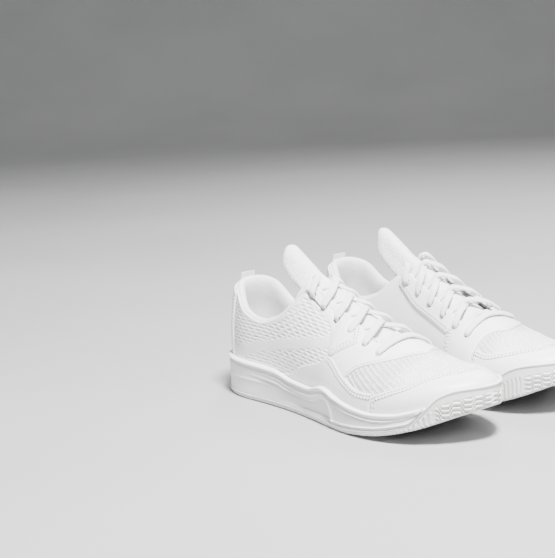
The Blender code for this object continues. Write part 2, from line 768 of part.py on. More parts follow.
def tucked_end(lateral):
    """Lace end over the eyestay's edge, down beside the tongue and back along the sockliner."""
    edge = LATERAL_EDGE if lateral else MEDIAL_EDGE

    def along(position):
        return position if lateral else 2 - position

    route = ((0.407, edge - 0.05, 3.9), (0.402, edge + 0.04, 3.2), (0.394, edge + 0.07, -1.0),
             (0.386, edge, -4.7), (0.374, edge - 0.1, -5.7), (0.36, edge - 0.21, -6.2),
             (0.345, edge - 0.34, -7.0), (0.328, 0.3, -9.5), (0.312, 0.2, -12.5))
    points = [wall_point(along(position), up, out) for position, up, out in route]
    for position, inset in ((0.285, 19.5), (0.26, 20), (0.225, 20), (0.19, 19)):
        border = outline(along(position))
        x, y = border - outward(along(position)) * inset
        points.append(np.array((x, y, foot_z(x) + SOCKLINER_TOP + AGLET_RADIUS + 0.9)))
    return points


def half_lace(lateral):
    """One side of the lace, from the first eyelet up to its end."""
    points = through_eyelet(0, lateral, False)
    points += inside_crossing(lateral, lateral)
    at_lateral = not lateral
    for row in range(1, len(EYELET_STATIONS)):
        points += through_eyelet(row, at_lateral, True)
        if row < len(EYELET_STATIONS) - 1:
            over = (row % 2 == 0) == lateral
            points += crossing(row, at_lateral, over)
            at_lateral = not at_lateral
    return points + tucked_end(at_lateral)


def lace_points():
    """The whole route of the lace, with its first bar over the front of the throat."""
    s = EYELET_STATIONS[0]
    bar = [wall_point(around, up, BAR_HEIGHT)
           for around, up in ((s, 0.75), (s, 0.88), (s, 1), (2 - s, 0.85), (2 - s, 0.67))]
    return half_lace(True)[::-1] + bar + half_lace(False)


def curve_points(points, longest):
    """Points on a smooth curve through the route, with none further apart than the longest step."""
    p = np.array(points)
    p = np.vstack([2 * p[0] - p[1], p, 2 * p[-1] - p[-2]])
    found = []
    for i in range(1, len(p) - 2):
        a, b, c, d = p[i - 1], p[i], p[i + 1], p[i + 2]
        parts = max(int(math.ceil(np.linalg.norm(c - b) / longest)), 1)
        for k in range(parts):
            t = k / parts
            found.append(0.5 * (2 * b + (c - a) * t + (2 * a - 5 * b + 4 * c - d) * t * t
                                + (3 * b - a - 3 * c + d) * t**3))
    found.append(p[-2])
    return found


def add_tube(side, name, points, radius, surface):
    curve = bpy.data.curves.new(name, "CURVE")
    curve.dimensions = "3D"
    curve.bevel_depth = radius * MM
    curve.bevel_resolution = TUBE_SIDES
    curve.use_fill_caps = True
    curve.render_resolution_u = 0
    spline = curve.splines.new("POLY")
    spline.points.add(len(points) - 1)
    for target, point in zip(spline.points, points):
        target.co = (*side.place(point), 1)
    curve.materials.append(surface)
    made = bpy.data.objects.new(f"{side.name}_{name}", curve)
    bpy.context.scene.collection.objects.link(made)
    return made


def build_lace(side):
    points = curve_points(lace_points(), LACE_STEP)
    add_tube(side, "lace", points, LACE_RADIUS, fabric())
    ends = (("lace_tip_a", points[0], points[0] - points[1]),
            ("lace_tip_b", points[-1], points[-1] - points[-2]))
    for name, end, direction in ends:
        direction = direction / np.linalg.norm(direction)
        tip = [end + direction * (GAP + AGLET_LENGTH * k / 2) for k in range(3)]
        add_tube(side, name, tip, AGLET_RADIUS, plastic())


# ---------------------------------------------------------------- the pair

def build_shoe(side):
    build_outsole(side)
    build_midsole(side)
    build_insole(side)
    sheets = build_base(side) + build_overlays(side)
    build_inside(side)
    build_tongue(side)
    cut_eyelets(side, sheets)
    build_lace(side)


def main():
    for thing in list(bpy.data.objects):
        bpy.data.objects.remove(thing, do_unlink=True)
    for side in (RIGHT, LEFT):
        build_shoe(side)


main()
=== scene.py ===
"""Looks of the pair of cheer shoes: every visible piece of both shoes, their materials, light and camera.

Shapes are worked out in millimetres for the right shoe and mirrored for the left one. A point of a
shoe's wall is given by its position around the outline (0 heel back, 1 toe tip, 2 back at the heel
along the medial side) and its height up a rib (0 feather edge, 1 ridge of the instep).
"""
import math
from functools import cache

import bpy
import numpy as np
from mathutils import Matrix, Vector, kdtree


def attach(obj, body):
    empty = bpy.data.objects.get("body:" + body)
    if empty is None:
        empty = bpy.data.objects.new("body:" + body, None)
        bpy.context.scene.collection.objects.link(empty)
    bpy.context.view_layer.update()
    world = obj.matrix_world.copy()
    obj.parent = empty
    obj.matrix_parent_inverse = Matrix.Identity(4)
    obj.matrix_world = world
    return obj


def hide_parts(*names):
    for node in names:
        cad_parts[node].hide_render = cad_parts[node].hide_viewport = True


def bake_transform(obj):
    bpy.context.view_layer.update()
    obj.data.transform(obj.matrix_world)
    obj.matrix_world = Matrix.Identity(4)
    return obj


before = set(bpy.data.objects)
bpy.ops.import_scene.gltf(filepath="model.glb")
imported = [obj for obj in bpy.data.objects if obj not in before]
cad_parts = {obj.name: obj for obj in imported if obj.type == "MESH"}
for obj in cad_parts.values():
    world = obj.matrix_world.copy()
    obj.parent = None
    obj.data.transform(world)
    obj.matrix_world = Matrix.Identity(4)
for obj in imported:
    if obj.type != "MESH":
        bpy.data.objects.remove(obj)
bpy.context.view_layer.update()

MM = 0.001
PAIR_SPACING = 105.7         # between the middle planes of the two shoes
LENGTH_CENTRE = 137.0        # from the heel to the middle of the pair
AROUND_MM = 320.0            # length of the outline per unit of its position
UV_MM = 100.0                # millimetres per unit of the texture coordinates

# ---------------------------------------------------------------- driving shapes

STATIONS = (0, 0.07, 0.135, 0.255, 0.39, 0.525, 0.64, 0.745, 0.84, 0.92, 1)
LATERAL = ((0, 0), (6, -21), (24, -33), (62, -36.5), (105, -38.5), (147, -45.5),
           (184, -51.5), (217, -47.5), (244, -35.5), (263, -17), (274, 7))
MEDIAL = ((0, 0), (6, 21), (24, 31.5), (62, 31.5), (105, 28.5), (147, 34),
          (184, 43.5), (217, 46.5), (244, 41.5), (264, 28), (274, 7))

UPPER_INSET = 5.0                      # feather edge inside the outline
EYELET_STATIONS = (0.656, 0.608, 0.556, 0.504, 0.456, 0.412)
LATERAL_EDGE, MEDIAL_EDGE = 0.76, 0.66           # heights of the throat's edges
LATERAL_EYELET, MEDIAL_EYELET = 0.655, 0.565     # heights of the eyelets
EYELET_RADIUS = 2.7
RIDGE_SHARE_FROM = 0.5                 # height where normals begin to turn to the ridge's
RIDGE_COLUMNS = np.linspace(0.6465, 0.738, 26)   # where the overlay's two sides meet
LENGTHS_AROUND, LENGTHS_UP = 128, 32   # cells of the table of rib lengths


def smooth_curve(knots, values, period):
    """Closed cubic spline through the values at the knots."""
    t = np.array(knots, float)
    p = np.array(values, float)
    n = len(t)
    h = np.diff(np.append(t, t[0] + period))
    a = np.zeros((n, n))
    b = np.zeros_like(p)
    for i in range(n):
        before, after = h[i - 1], h[i]
        a[i, i - 1] += before
        a[i, i] += 2 * (before + after)
        a[i, (i + 1) % n] += after
        b[i] = 6 * ((p[(i + 1) % n] - p[i]) / after - (p[i] - p[i - 1]) / before)
    m = np.linalg.solve(a, b)

    def at(u):
        u = t[0] + (np.atleast_1d(np.asarray(u, float)) - t[0]) % period
        i = np.clip(np.searchsorted(t, u, side="right") - 1, 0, n - 1)
        j = (i + 1) % n
        x = (u - t[i])[:, None]
        w = h[i][:, None]
        y = w - x
        bend = (m[i] * y**3 + m[j] * x**3) / (6 * w)
        return bend + (p[i] / w - m[i] * w / 6) * y + (p[j] / w - m[j] * w / 6) * x

    return at


def profile(*points):
    """Monotone curve through (position, value) points, flat past its ends."""
    x, y = np.array(points, float).T
    h = np.diff(x)
    d = np.diff(y) / h
    m = np.zeros(len(x))
    m[0], m[-1] = d[0], d[-1]
    for i in range(1, len(x) - 1):
        if d[i - 1] * d[i] > 0:
            a, b = 2 * h[i] + h[i - 1], h[i] + 2 * h[i - 1]
            m[i] = (a + b) / (a / d[i - 1] + b / d[i])

    def at(u):
        u = np.clip(np.asarray(u, float), x[0], x[-1])
        i = np.clip(np.searchsorted(x, u, side="right") - 1, 0, len(h) - 1)
        t = (u - x[i]) / h[i]
        start = y[i] * (1 + 2 * t) * (1 - t) ** 2 + m[i] * h[i] * t * (1 - t) ** 2
        return start + y[i + 1] * t * t * (3 - 2 * t) - m[i + 1] * h[i] * t * t * (1 - t)

    return at


outline = smooth_curve(STATIONS + tuple(2 - s for s in STATIONS[-2:0:-1]),
                       LATERAL + MEDIAL[-2:0:-1], 2)
bottom_z = profile((0, 4), (14, 0.6), (30, 0), (165, 0), (205, 3), (235, 10), (275, 26))
foot_z = profile((0, 26), (60, 24), (130, 18), (180, 15), (230, 21), (275, 37))
ridge_z = profile((40, 150), (75, 130), (95, 116), (115, 103), (140, 88), (165, 74.5),
                  (190, 62.5), (215, 53.8), (232, 50))
ridge_y = profile((40, 0), (100, 2), (150, 4), (200, 6), (240, 8))
ridge_x = profile((0, 46), (0.03, 46), (0.135, 50), (0.255, 66), (0.39, 105), (0.525, 147), (0.64, 184),
                  (0.745, 212), (0.84, 226), (0.92, 231), (0.98, 232), (1, 232))
bulge = profile((0, 5), (0.03, 5), (0.14, 4), (0.3, 2.5), (0.5, 3), (0.7, 6), (0.85, 6), (0.96, 5.05),
                (0.98, 5), (1, 5))
rise = profile((0, 0.52), (0.3, 0.5), (0.5, 0.5), (0.7, 0.62), (0.85, 0.75), (0.97, 0.85), (1, 0.85))
shoulder = profile((0, 0.5), (0.3, 0.52), (0.5, 0.5), (0.7, 0.52), (0.85, 0.52), (1, 0.56),
                   (1.15, 0.62), (1.3, 0.62), (1.5, 0.52), (1.7, 0.52), (2, 0.5))
tilt = profile((0.3, 0), (0.45, 1))
collar_z = profile((0, 93), (16, 88), (40, 71), (60, 66), (78, 71), (94, 84), (110, 99))
rim_z = profile((0.72, 0), (0.776, 7.8), (0.816, 17), (0.848, 28.5), (0.88, 37.5), (0.924, 41.5),
                (1, 42.5), (1.056, 42), (1.128, 40), (1.172, 36), (1.2, 30), (1.235, 17), (1.28, 0))
wall_z = profile((0, 33), (0.15, 32), (0.316, 30), (0.388, 26), (0.46, 25), (0.524, 29.5),
                 (0.592, 25), (0.648, 22), (0.7, 20.5), (0.764, 22), (0.812, 25.5), (0.848, 28.5),
                 (0.9, 29.5), (1, 30), (1.1, 29.5), (1.19, 26), (1.25, 22), (1.32, 20.5),
                 (1.4, 23), (1.48, 26.5), (1.56, 25), (1.66, 28), (1.8, 31), (2, 33))


# ---------------------------------------------------------------- wall of the upper

def outward(around):
    """Level directions out of the outline."""
    step = 1e-4
    d = outline(around + step) - outline(around - step)
    n = np.stack([d[:, 1], -d[:, 0]], -1)
    return n / np.linalg.norm(n, axis=1)[:, None]


def station(around):
    """Position on the lateral side that lies across from this one."""
    around = np.asarray(around, float) % 2
    return np.where(around > 1, 2 - around, around)


def rib_point(around, up):
    """Points of the ribs, which spring from the feather edge and meet the ridge."""
    around = np.atleast_1d(np.asarray(around, float))
    up = np.broadcast_to(np.asarray(up, float), around.shape)[:, None]
    t = station(around)
    edge = outline(around)
    n = outward(around)
    foot = np.column_stack([edge - n * UPPER_INSET, foot_z(edge[:, 0])])
    x = ridge_x(t)
    top = np.column_stack([x, ridge_y(x), ridge_z(x)])
    height = top[:, 2] - foot[:, 2]
    low = foot + np.column_stack([n * bulge(t)[:, None], height * rise(t)])
    level = foot - top
    slope = (ridge_z(x + 1) - ridge_z(x - 1)) / 2
    level[:, 2] = slope * tilt(t) * level[:, 0]
    high = top + level * shoulder(around % 2)[:, None]
    down = 1 - up
    return foot * down**3 + 3 * low * up * down**2 + 3 * high * up * up * down + top * up**3


def unit(vectors):
    return vectors / np.maximum(np.linalg.norm(vectors, axis=-1, keepdims=True), 1e-12)


def side_normal(around, up):
    step = 1e-3
    up = np.minimum(up, 0.97)
    along = rib_point(around + step, up) - rib_point(around - step, up)
    across = rib_point(around, up + step) - rib_point(around, up - step)
    return unit(np.cross(along, across))


def wall_normal(around, up):
    """Directions out of the wall. Towards the ridge they turn to the one that both sides share."""
    around = np.atleast_1d(np.asarray(around, float))
    up = np.broadcast_to(np.asarray(up, float), around.shape)
    n = side_normal(around, up)
    t = station(around)
    ridge = unit(side_normal(t, np.ones(len(t))) + side_normal(2 - t, np.ones(len(t))))
    share = np.clip((up - RIDGE_SHARE_FROM) / (1 - RIDGE_SHARE_FROM), 0, 1)
    share = (share * share * (3 - 2 * share))[:, None]
    return unit(n * (1 - share) + ridge * share)


def wall_point(around, up, out):
    """Points that stand out from the wall by this distance."""
    out = np.broadcast_to(np.asarray(out, float), np.shape(np.atleast_1d(around)))
    return rib_point(around, up) + wall_normal(around, up) * out[:, None]


def up_at_height(around, z):
    """Heights along the ribs of the points that lie z above the ground."""
    low, high = np.zeros(len(around)), np.ones(len(around))
    for _ in range(26):
        middle = (low + high) / 2
        under = rib_point(around, middle)[:, 2] < z
        low = np.where(under, middle, low)
        high = np.where(under, high, middle)
    return low


def collar_top(around):
    """Heights up the ribs of the collar's top line."""
    around = np.atleast_1d(np.asarray(around, float))
    return up_at_height(around, collar_z(outline(around)[:, 0]))


def rib_length_table():
    """Lengths along the ribs, on a grid of positions and heights."""
    a = np.linspace(0, 2, LENGTHS_AROUND + 1)
    u = np.linspace(0, 1, LENGTHS_UP + 1)
    grid_a, grid_u = np.meshgrid(a, u, indexing="ij")
    p = rib_point(grid_a.ravel(), grid_u.ravel()).reshape(len(a), len(u), 3)
    steps = np.linalg.norm(np.diff(p, axis=1), axis=2)
    return np.concatenate([np.zeros((len(a), 1)), np.cumsum(steps, axis=1)], axis=1)


rib_lengths = rib_length_table()


def around_mm(around):
    """Distance from the heel along the outline, the same on both sides."""
    return station(around) * AROUND_MM


def rib_length(around, up):
    """Length along the rib from the feather edge."""
    x = (np.asarray(around) % 2) * LENGTHS_AROUND / 2
    y = np.clip(np.asarray(up), 0, 1) * LENGTHS_UP
    i = np.minimum(x.astype(int), LENGTHS_AROUND - 1)
    j = np.minimum(y.astype(int), LENGTHS_UP - 1)
    s, t = x - i, y - j
    low = rib_lengths[i, j] * (1 - s) + rib_lengths[i + 1, j] * s
    high = rib_lengths[i, j + 1] * (1 - s) + rib_lengths[i + 1, j + 1] * s
    return low * (1 - t) + high * t


# ---------------------------------------------------------------- meshes

EDGE_STEPS = (0.0, 0.3, 0.8, 1.6)      # rows of points that round a piece's edge
EDGE_ROUNDING = 1.2
LEAST_STRIP = 0.05
BEAD_SIDES = 6
STITCH_PITCH, STITCH_LENGTH, STITCH_RADIUS = 2.7, 1.7, 0.38
HOLE_LENGTH, HOLE_RADIUS = 0.9, 0.42
THREAD_STOPS = ((-0.5, 0.5, -0.8), (-0.3, 1, 0.1), (0.3, 1, 0.1), (0.5, 0.5, -0.8))
HOLE_STOPS = ((-0.5, 0.3, -0.3), (-0.3, 1, -0.3), (0.3, 1, -0.3), (0.5, 0.3, -0.3))


class Side:
    """One shoe of the pair."""

    def __init__(self, name, sign):
        self.name = name
        self.sign = sign
        self.body = name + "_shoe"
        self.flap = name + "_tongue_flap"

    def place(self, points):
        p = np.asarray(points, float)
        y = self.sign * (PAIR_SPACING / 2 - p[:, 1])
        return np.column_stack([p[:, 0] - LENGTH_CENTRE, y, p[:, 2]]) * MM

    def node(self, name):
        return f"{self.name}_{name}"


RIGHT = Side("right", -1)
LEFT = Side("left", 1)


def new_object(name, data):
    made = bpy.data.objects.new(name, data)
    bpy.context.scene.collection.objects.link(made)
    return made


def add_mesh(side, name, points, faces, surface, uv=None, sharp=50):
    """Object of one shoe. Faces turn outwards for the right shoe and are flipped for the left."""
    if side is LEFT:
        faces = [face[::-1] for face in faces]
    mesh = bpy.data.meshes.new(side.node(name))
    mesh.from_pydata(side.place(points).tolist(), [], [list(map(int, face)) for face in faces])
    if uv is not None:
        layer = mesh.uv_layers.new(name="UVMap")
        index = np.zeros(len(mesh.loops), np.int64)
        mesh.loops.foreach_get("vertex_index", index)
        layer.data.foreach_set("uv", (np.asarray(uv)[index] / UV_MM).astype(np.float32).ravel())
    mesh.materials.append(surface)
    mesh.shade_smooth()
    mesh.set_sharp_from_angle(angle=math.radians(sharp))
    return new_object(side.node(name), mesh)


def finish_piece(piece, side, slot, *nodes):
    """The piece rides on its shoe and stands for these CAD nodes."""
    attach(piece, side.body)
    if nodes:
        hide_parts(*[side.node(n) for n in nodes])
    return piece


def value_of(rule, around):
    """Values at these positions of a rule, which is a function or one number."""
    return rule(around) if callable(rule) else np.full(len(around), float(rule))


def joined(*parts):
    """Positions of all the parts in order, each once."""
    return np.unique(np.round(np.concatenate(parts), 7))


def spread(start, end, step):
    """Positions from start to end, closer together at both ends."""
    edge = np.array(EDGE_STEPS) / AROUND_MM
    count = max(int(round((end - start) * AROUND_MM / step)), 2)
    middle = np.linspace(start + edge[-1], end - edge[-1], count + 1)[1:-1]
    return np.concatenate([start + edge, middle, end - edge[::-1]])


def strip_grid(columns, lower, upper, step):
    """Positions and heights of a strip's points, closer together at its edges."""
    low, high = value_of(lower, columns), value_of(upper, columns)
    length = np.maximum(rib_length(columns, high) - rib_length(columns, low), LEAST_STRIP)
    scale = np.minimum(1, length / (4 * EDGE_STEPS[-1]))
    edge = np.array(EDGE_STEPS) * (scale / length)[:, None]
    count = max(int(round(length.max() / step)), 2)
    middle = edge[:, -1:] + (1 - 2 * edge[:, -1:]) * np.linspace(0, 1, count + 1)[1:-1]
    t = np.concatenate([edge, middle, 1 - edge[:, ::-1]], axis=1)
    up = low[:, None] + (high - low)[:, None] * t
    return np.repeat(columns[:, None], t.shape[1], axis=1), up


def merged_grid(grids):
    """One list of (position, height) points and the quads between them, merged along the ridge."""
    keys, cells = [], []
    first = 0
    for around, up in grids:
        top = up > 1 - 1e-6
        a = np.where(top, station(around), around % 2)
        keys.append(np.column_stack([a.ravel(), np.where(top, 1, up).ravel()]))
        m, n = up.shape
        i, j = np.meshgrid(np.arange(m - 1), np.arange(n - 1), indexing="ij")
        k = (first + i * n + j).ravel()
        cells.append(np.column_stack([k, k + n, k + n + 1, k + 1]))
        first += up.size
    keys = np.concatenate(keys)
    _, index, inverse = np.unique(np.round(keys * 1e6).astype(np.int64), axis=0,
                                  return_index=True, return_inverse=True)
    cells = inverse.reshape(-1)[np.concatenate(cells)].tolist()
    faces = [without_repeats(cell) for cell in cells]
    return keys[index], [face for face in faces if len(face) > 2]


def without_repeats(cell):
    return [c for k, c in enumerate(cell) if c != cell[k - 1]]


def tree_of(points):
    """Tree that finds the nearest of these points."""
    tree = kdtree.KDTree(len(points))
    for i, p in enumerate(points):
        tree.insert(p, i)
    tree.balance()
    return tree


def rim_of(points, faces):
    """Border edges of the faces, and how far each point is from the border."""
    edges = {(face[i - 1], face[i]) for face in faces for i in range(len(face))}
    border = [(a, b) for a, b in edges if (b, a) not in edges]
    tree = tree_of(points[sorted({a for edge in border for a in edge})])
    return border, np.array([tree.find(p)[2] for p in points])


def closed_sheet(outer, inner, faces, border):
    """Points and faces of the solid between two layers of points."""
    count = len(outer)
    under = [[c + count for c in face[::-1]] for face in faces]
    edge = [[b, a, a + count, b + count] for a, b in border]
    return np.vstack([outer, inner]), faces + under + edge


def wall_sheet(side, name, strips, out, thickness, surface, relief=None, step=2.0, sunk=0.4):
    """Sheet on the wall with rounded edges. A strip is (positions, lower edge, upper edge), and a
    fourth value is its own step. out is how far the sheet's underside stands off the wall."""
    keys, faces = merged_grid([strip_grid(*(tuple(strip) + (step,))[:4]) for strip in strips])
    around, up = keys[:, 0], keys[:, 1]
    base = rib_point(around, up)
    normal = wall_normal(around, up)
    border, from_rim = rim_of(base, faces)
    near = np.clip(from_rim / EDGE_ROUNDING, 0, 1)
    under = value_of(out, around)
    height = under + value_of(thickness, around) * (0.25 + 0.75 * np.sqrt(1 - (1 - near) ** 2))
    if relief is not None:
        height = height + relief(around, up, from_rim)
    points, closed = closed_sheet(base + normal * height[:, None],
                                  base + normal * (under - sunk)[:, None], faces, border)
    uv = np.column_stack([around_mm(around), rib_length(around, up)])
    return add_mesh(side, name, points, closed, surface, np.vstack([uv, uv]))


def leather_panel(side, name, nodes, strips, out, thickness, *relief, **more):
    """Leather piece of the upper, which stands for these CAD nodes."""
    made = wall_sheet(side, name, strips, out, thickness, leather(), *relief, **more)
    return finish_piece(made, side, "leather", *nodes)


def circle(middle, across, other, radius, sides):
    """Points around a middle. Around an array of middles, each of them is an array too."""
    turns = [2 * math.pi * k / sides for k in range(sides)]
    return [middle + (across * math.cos(turn) + other * math.sin(turn)) * radius for turn in turns]


def tube_faces(rings, sides, first=0):
    """Faces of a tube with both ends closed, whose rings of points follow one another."""
    faces = []
    for r in range(rings - 1):
        start = first + r * sides
        for k in range(sides):
            a, b = start + k, start + (k + 1) % sides
            faces.append([a, b, b + sides, a + sides])
    faces.append([first + k for k in range(sides)][::-1])
    faces.append([first + (rings - 1) * sides + k for k in range(sides)])
    return faces


def length_along(points):
    """Distance of each point of a path from its start."""
    return np.append(0, np.cumsum(np.linalg.norm(np.diff(points, axis=0), axis=1)))


def points_at(path, length, wanted):
    """Rows of a path at the wanted distances from its start."""
    return np.column_stack([np.interp(wanted, length, row) for row in path.T])


def stitch_rows(side, name, path, rows, height):
    """Rows of separate stitches and, between them, near-black beads of painted shade that stand for the
    needle holes, beside a path on the wall.
    The path is a list of positions and a list of heights up the ribs."""
    around, up = np.array(path[0], float), np.array(path[1], float)
    track = np.column_stack([rib_point(around, up), around, up])
    length = length_along(track)
    count = max(int(length[-1] // STITCH_PITCH), 1)
    at = points_at(track, length, (np.arange(count) + 0.5) * length[-1] / count)
    direction = unit(np.gradient(at[:, :3], axis=0))
    normal = wall_normal(at[:, 3], at[:, 4])
    beside = np.cross(normal, direction)
    lifted = at[:, :3] + normal * value_of(height, at[:, 3])[:, None]
    centre = np.concatenate([lifted + beside * offset for offset in rows])
    axes = [np.tile(axis, (len(rows), 1)) for axis in (direction, normal, beside)]
    swept_beads(side, name, centre, axes, THREAD_STOPS, STITCH_LENGTH, STITCH_RADIUS, thread())
    between = centre + axes[0] * (STITCH_PITCH / 2)
    # Near-black beads sunk into the leather between the stitches: painted shade of the needle holes.
    swept_beads(side, name + "_holes", between, axes, HOLE_STOPS, HOLE_LENGTH, HOLE_RADIUS, painted_hole_shade())


def swept_beads(side, name, centre, axes, stops, length, radius, surface):
    """Small closed beads. A stop is (share of the length, share of the radius, drop)."""
    direction, normal, beside = axes
    rings = []
    for share, fat, drop in stops:
        middle = centre + direction * (share * length) + normal * (drop * radius)
        rings += circle(middle, beside, normal, radius * fat, BEAD_SIDES)
    points = np.stack(rings, axis=1)
    block = points.shape[1]
    pattern = tube_faces(len(stops), BEAD_SIDES)
    faces = [[c + i * block for c in face[::-1]] for i in range(len(points)) for face in pattern]
    made = add_mesh(side, name, points.reshape(-1, 3), faces, surface, sharp=80)
    finish_piece(made, side, "leather")


# ---------------------------------------------------------------- materials

RIB_PERIOD = 3.6
RIB_SLANT = (0.56, 0.83)
RUNG_PERIOD = 2.0
WINDOW_FROM, WINDOW_FADE = 0.22, 0.06  # positions back from the toe where the ribs and the painted shade between them begin


def new_material(name, colour, roughness, **values):
    made = bpy.data.materials.new(name)
    made.use_nodes = True
    shader = made.node_tree.nodes["Principled BSDF"]
    shader.inputs["Base Color"].default_value = (*colour, 1)
    shader.inputs["Roughness"].default_value = roughness
    for key, value in values.items():
        shader.inputs[key.replace("_", " ")].default_value = value
    return made


def node(tree, kind, **inputs):
    made = tree.nodes.new(kind)
    for key, value in inputs.items():
        made.inputs[key].default_value = value
    return made


def coordinates(tree, kind):
    found = tree.nodes.get("coordinates") or tree.nodes.new("ShaderNodeTexCoord")
    found.name = "coordinates"
    return found.outputs[kind]


def texture(tree, kind, output, **inputs):
    """Output of a texture over the object's own coordinates."""
    made = node(tree, kind, **inputs)
    tree.links.new(coordinates(tree, "Object"), made.inputs["Vector"])
    return made.outputs[output]


def noise(scale, detail=3.0):
    return lambda tree: texture(tree, "ShaderNodeTexNoise", "Fac", Scale=scale, Detail=detail)


def cells(scale):
    return lambda tree: texture(tree, "ShaderNodeTexVoronoi", "Distance", Scale=scale)


def add_tones(tree, shader, pattern, low, high):
    """Base colour between two tones, by a pattern's value."""
    ramp = tree.nodes.new("ShaderNodeValToRGB")
    for element, position, colour in zip(ramp.color_ramp.elements, (0.3, 0.7), (low, high)):
        element.position = position
        element.color = (*colour, 1)
    tree.links.new(pattern(tree), ramp.inputs["Fac"])
    tree.links.new(ramp.outputs["Color"], shader.inputs["Base Color"])


def add_bumps(tree, shader, bumps):
    """Chain of bumps, each (pattern, strength, distance in metres)."""
    last = None
    for pattern, strength, distance in bumps:
        bump = node(tree, "ShaderNodeBump", Strength=strength, Distance=distance)
        tree.links.new(pattern(tree), bump.inputs["Height"])
        if last is not None:
            tree.links.new(last, bump.inputs["Normal"])
        last = bump.outputs["Normal"]
    tree.links.new(last, shader.inputs["Normal"])


def textured(name, colour, roughness, tones, bumps, **values):
    """Material with tones, which are (pattern, low, high) or None, and bumps."""
    made = new_material(name, colour, roughness, **values)
    shader = made.node_tree.nodes["Principled BSDF"]
    if tones:
        add_tones(made.node_tree, shader, *tones)
    if bumps:
        add_bumps(made.node_tree, shader, bumps)
    return made


def math_node(tree, operation, a, b=None):
    made = tree.nodes.new("ShaderNodeMath")
    made.operation = operation
    for socket, value in zip(made.inputs, (a, b)):
        if isinstance(value, (int, float)):
            socket.default_value = value
        elif value is not None:
            tree.links.new(value, socket)
    return made.outputs[0]


def uv_axes(tree):
    """The texture coordinates in millimetres."""
    split = tree.nodes.new("ShaderNodeSeparateXYZ")
    tree.links.new(coordinates(tree, "UV"), split.inputs[0])
    return [math_node(tree, "MULTIPLY", split.outputs[k], UV_MM) for k in range(2)]


def wave(tree, axis, period):
    """Rounded ridges of a period along an axis, from 0 to 1."""
    angle = math_node(tree, "MULTIPLY", axis, 2 * math.pi / period)
    return math_node(tree, "MULTIPLY_ADD", math_node(tree, "SINE", angle), 0.5)


def slanted_sum(tree, operation, u, u_share, v, v_share):
    return math_node(tree, operation, math_node(tree, "MULTIPLY", u, u_share),
                     math_node(tree, "MULTIPLY", v, v_share))


def painted_rib_shade(tree, u, across):
    """Brightness of the side windows: painted shade that darkens the knit between the crests of the ribs.
    """
    shifted = math_node(tree, "ADD", across, RIB_PERIOD / 4)
    crests = math_node(tree, "POWER", wave(tree, shifted, RIB_PERIOD), 4)
    from_toe = math_node(tree, "ABSOLUTE", math_node(tree, "SUBTRACT", u, AROUND_MM))
    beyond = math_node(tree, "SUBTRACT", from_toe, WINDOW_FROM * AROUND_MM)
    window = math_node(tree, "DIVIDE", beyond, WINDOW_FADE * AROUND_MM)
    window.node.use_clamp = True
    shade = math_node(tree, "MULTIPLY", window, math_node(tree, "SUBTRACT", 1, crests))
    return math_node(tree, "SUBTRACT", 1, math_node(tree, "MULTIPLY", shade, 0.52))


def knit_pattern(tree):
    """Fine open knit under slanted ribs, with painted shade between the ribs' crests, plain towards the
    toe's middle.
    """
    u, v = uv_axes(tree)
    along = slanted_sum(tree, "SUBTRACT", u, RIB_SLANT[1], v, RIB_SLANT[0])
    across = slanted_sum(tree, "ADD", u, RIB_SLANT[0], v, RIB_SLANT[1])
    rungs, ribs = wave(tree, along, RUNG_PERIOD / 2), wave(tree, across, RIB_PERIOD / 3)
    knots = math_node(tree, "MULTIPLY", rungs, ribs)
    open_knit = math_node(tree, "ADD", math_node(tree, "MULTIPLY", knots, 0.7), cells(900)(tree))
    return math_node(tree, "MULTIPLY", open_knit, painted_rib_shade(tree, u, across))


def crossed_yarns(tree):
    """Slanted yarns that cross."""
    u, v = uv_axes(tree)
    left = wave(tree, math_node(tree, "ADD", u, v), 1.3)
    right = wave(tree, math_node(tree, "SUBTRACT", u, v), 1.3)
    return math_node(tree, "MAXIMUM", left, right)


def square_weave(tree):
    u, v = uv_axes(tree)
    return math_node(tree, "MULTIPLY", wave(tree, u, 1.1), wave(tree, v, 0.9))


@cache
def leather():
    return textured("white_leather", (0.84, 0.84, 0.83), 0.42,
                    (noise(35), (0.80, 0.80, 0.79), (0.87, 0.87, 0.865)),
                    [(cells(1500), 0.25, 0.0002), (noise(260, 4), 0.18, 0.0006)],
                    Coat_Weight=0.08, Coat_Roughness=0.3)


@cache
def knit():
    # The dark low tone comes mostly from the painted shade between the ribs, not from the knit's own
    # colour.
    return textured("ribbed_mesh", (0.76, 0.77, 0.77), 0.8,
                    (knit_pattern, (0.42, 0.425, 0.43), (0.86, 0.86, 0.86)),
                    [(cells(900), 0.5, 0.0004), (noise(500, 2), 0.2, 0.0003)], Sheen_Weight=0.15)


@cache
def lining():
    return textured("soft_lining", (0.78, 0.78, 0.77), 0.9,
                    (cells(1300), (0.66, 0.66, 0.66), (0.82, 0.82, 0.81)),
                    [(cells(1300), 0.6, 0.0004), (noise(120), 0.2, 0.0008)], Sheen_Weight=0.2)


@cache
def padded_cloth():
    return textured("tongue_cloth", (0.82, 0.82, 0.815), 0.75,
                    (cells(700), (0.70, 0.70, 0.70), (0.85, 0.85, 0.845)),
                    [(cells(700), 0.6, 0.0005), (noise(150), 0.2, 0.0008)], Sheen_Weight=0.15)


@cache
def rubber():
    return textured("white_rubber", (0.80, 0.80, 0.785), 0.55,
                    (noise(28), (0.76, 0.76, 0.745), (0.82, 0.82, 0.81)), [(noise(900), 0.15, 0.0003)])


@cache
def moulded_foam():
    return textured("moulded_foam", (0.86, 0.86, 0.85), 0.5,
                    (noise(22), (0.83, 0.83, 0.82), (0.88, 0.88, 0.875)),
                    [(noise(1200), 0.12, 0.0003), (noise(60, 2), 0.06, 0.001)])


@cache
def thread():
    return textured("white_thread", (0.87, 0.87, 0.86), 0.6, None, [(noise(3000, 2), 0.3, 0.0002)],
                    Sheen_Weight=0.2)


# Near-black colour that paints the shade inside the needle holes.
@cache
def painted_hole_shade():
    return new_material("painted_hole_shade", (0.16, 0.16, 0.16), 0.9)


